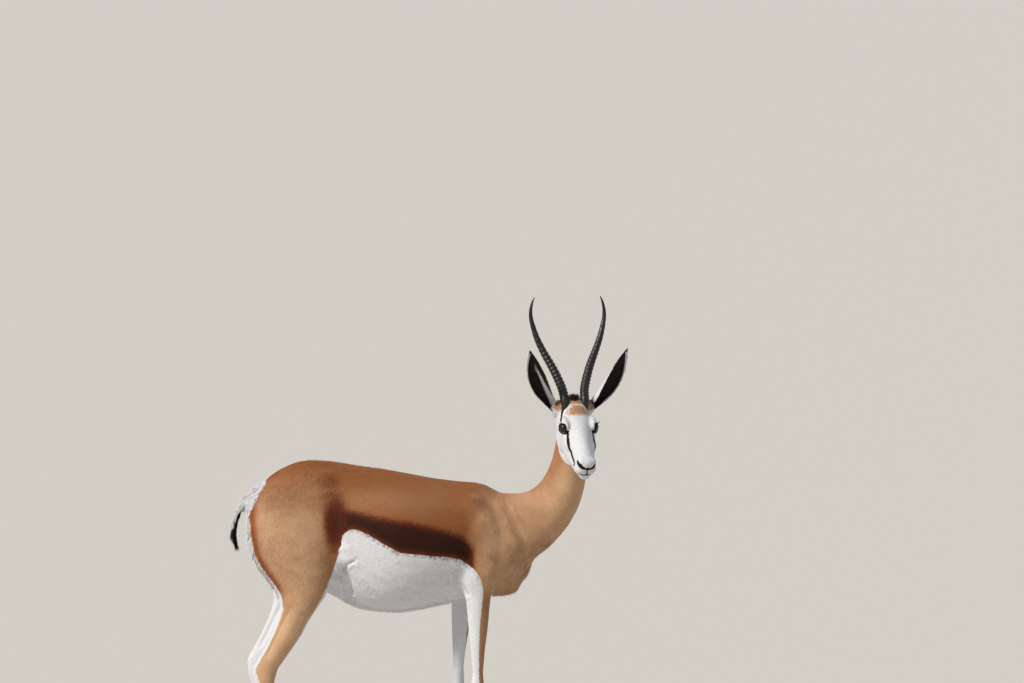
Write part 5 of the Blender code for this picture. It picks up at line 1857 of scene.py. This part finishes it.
class SPRINGBOK_OT_lashes(bpy.types.Operator):
    """Add the eyelashes"""

    bl_idname = "springbok.lashes"
    bl_label = "Lashes"

    def execute(self, context):
        random = np.random.default_rng(SEED + 2)
        for side, name in SIDES:
            roots, ways = [], []
            for share in np.linspace(0.10, 0.90, LASHES):
                out = lid_way(side, math.pi * share, raised=1.08)
                roots.append(EYES[side] + out * (EYE_RADIUS + LID_THICKNESS))
                ways.append((out * 0.9 + LEFT * (side * 0.35) + UP * 0.15).normalized())
            roots, ways = np.array(roots), np.array(ways)
            ways = unit(ways + random.normal(0, 0.10, ways.shape))
            upward = np.array(eye_frame(side)[3])
            outs = unit(upward - ways * np.sum(upward * ways, axis=1)[:, None])
            labels = np.full(len(roots), LABELS.index("head"))
            lift = math.radians(16)
            lashes, _normals = grow("lashes_" + name, roots, outs, labels, LASH_LENGTH, LASH_WIDTH, lift,
                                    LASH_DROOP, 3, lie=ways)
            nodes = Nodes("lashes_" + name)
            nodes.set(Base_Color=(*LASH, 1.0), Roughness=0.45)
            finish_piece(lashes, "ear_skin", nodes.material)
        return {"FINISHED"}


# The floor's radius, the light from all round, and the suns: share of the key, softness and turn in
# degrees, and tint
FLOOR_RADIUS = 170.0
SKY = (0.86, 0.90, 1.0, 1.0)
SUNS = (
    ("key", 1.0, 18, (54, 0, -58), (1.0, 0.955, 0.89)),
    ("rim", 0.14, 30, (55, 0, 150), (0.92, 0.96, 1.0)),
)
# The photo's middle in the frame, its width in pixels, a pixel at the animal and the camera's sensor
PHOTO_MIDDLE = Vector((0.2054, 0.0596, 1.0833))
PHOTO_WIDTH_PX = 1024
PIXEL = 0.00245
SENSOR = 36


class SPRINGBOK_OT_stage(bpy.types.Operator):
    """Set up the floor, the light and the camera"""

    bl_idname = "springbok.stage"
    bl_label = "Stage"

    def execute(self, context):
        looks = context.scene.springbok_stage
        scene = context.scene
        bpy.ops.object.select_all(action="DESELECT")
        bpy.ops.mesh.primitive_circle_add(vertices=96, radius=FLOOR_RADIUS, fill_type="NGON")
        floor = bpy.context.object
        floor.name = "floor"
        nodes = Nodes("floor")
        nodes.set(Base_Color=(*looks.floor, 1.0), Roughness=0.9, Specular_IOR_Level=0.15)
        floor.data.materials.append(nodes.material)
        world = bpy.data.worlds.new("studio")
        scene.world = world
        world.use_nodes = True
        background = world.node_tree.nodes["Background"]
        background.inputs[0].default_value = SKY
        background.inputs[1].default_value = looks.fill
        for name, share, softness, degrees, tint in SUNS:
            self.sun(name, looks.key * share, softness, degrees, tint)
        self.camera(scene, looks)
        scene.view_settings.view_transform = "Standard"
        return {"FINISHED"}

    def sun(self, name, strength, softness, degrees, tint):
        bpy.ops.object.light_add(type="SUN", rotation=[math.radians(d) for d in degrees])
        light = bpy.context.object
        light.name = name
        light.data.energy = strength
        light.data.angle = math.radians(softness)
        light.data.color = tint

    def camera(self, scene, looks):
        """The photo's view: side on, a little above the back, cut off above the feet."""
        away = Vector((0, -math.cos(looks.elevation), math.sin(looks.elevation)))
        turn = (math.pi / 2 - looks.elevation, 0, 0)
        bpy.ops.object.camera_add(location=PHOTO_MIDDLE + away * looks.distance, rotation=turn)
        camera = bpy.context.object
        camera.data.sensor_width = SENSOR
        camera.data.lens = SENSOR * looks.distance / (PHOTO_WIDTH_PX * PIXEL)
        camera.data.clip_start = 0.5
        camera.data.clip_end = 400
        scene.camera = camera


class SPRINGBOK_PT_panel(bpy.types.Panel):
    """Lists the pieces in the order in which they are made"""

    bl_idname = "SPRINGBOK_PT_panel"
    bl_label = "Springbok"
    bl_space_type = "VIEW_3D"
    bl_region_type = "UI"
    bl_category = "Springbok"

    def draw(self, context):
        for operator in OPERATORS:
            self.layout.operator(operator.bl_idname)


SETTINGS = {
    "springbok_skin": SkinSettings,
    "springbok_markings": MarkingSettings,
    "springbok_coat": CoatSettings,
    "springbok_horns": HornSettings,
    "springbok_stage": StageSettings,
}
OPERATORS = (
    SPRINGBOK_OT_skin,
    SPRINGBOK_OT_eyes,
    SPRINGBOK_OT_lashes,
    SPRINGBOK_OT_horns,
    SPRINGBOK_OT_hooves,
    SPRINGBOK_OT_coat,
    SPRINGBOK_OT_fringes,
    SPRINGBOK_OT_stage,
)


def register():
    for group in (*SETTINGS.values(), *OPERATORS, SPRINGBOK_PT_panel):
        bpy.utils.register_class(group)
    for name, settings in SETTINGS.items():
        setattr(bpy.types.Scene, name, PointerProperty(type=settings))


def unregister():
    for name in SETTINGS:
        delattr(bpy.types.Scene, name)
    for group in reversed((*SETTINGS.values(), *OPERATORS, SPRINGBOK_PT_panel)):
        bpy.utils.unregister_class(group)


def main():
    """Builds every piece in order."""
    register()
    for step in ("skin", "eyes", "lashes", "horns", "hooves", "coat", "fringes", "stage"):
        getattr(bpy.ops.springbok, step)()


if __name__ == "__main__":
    main()
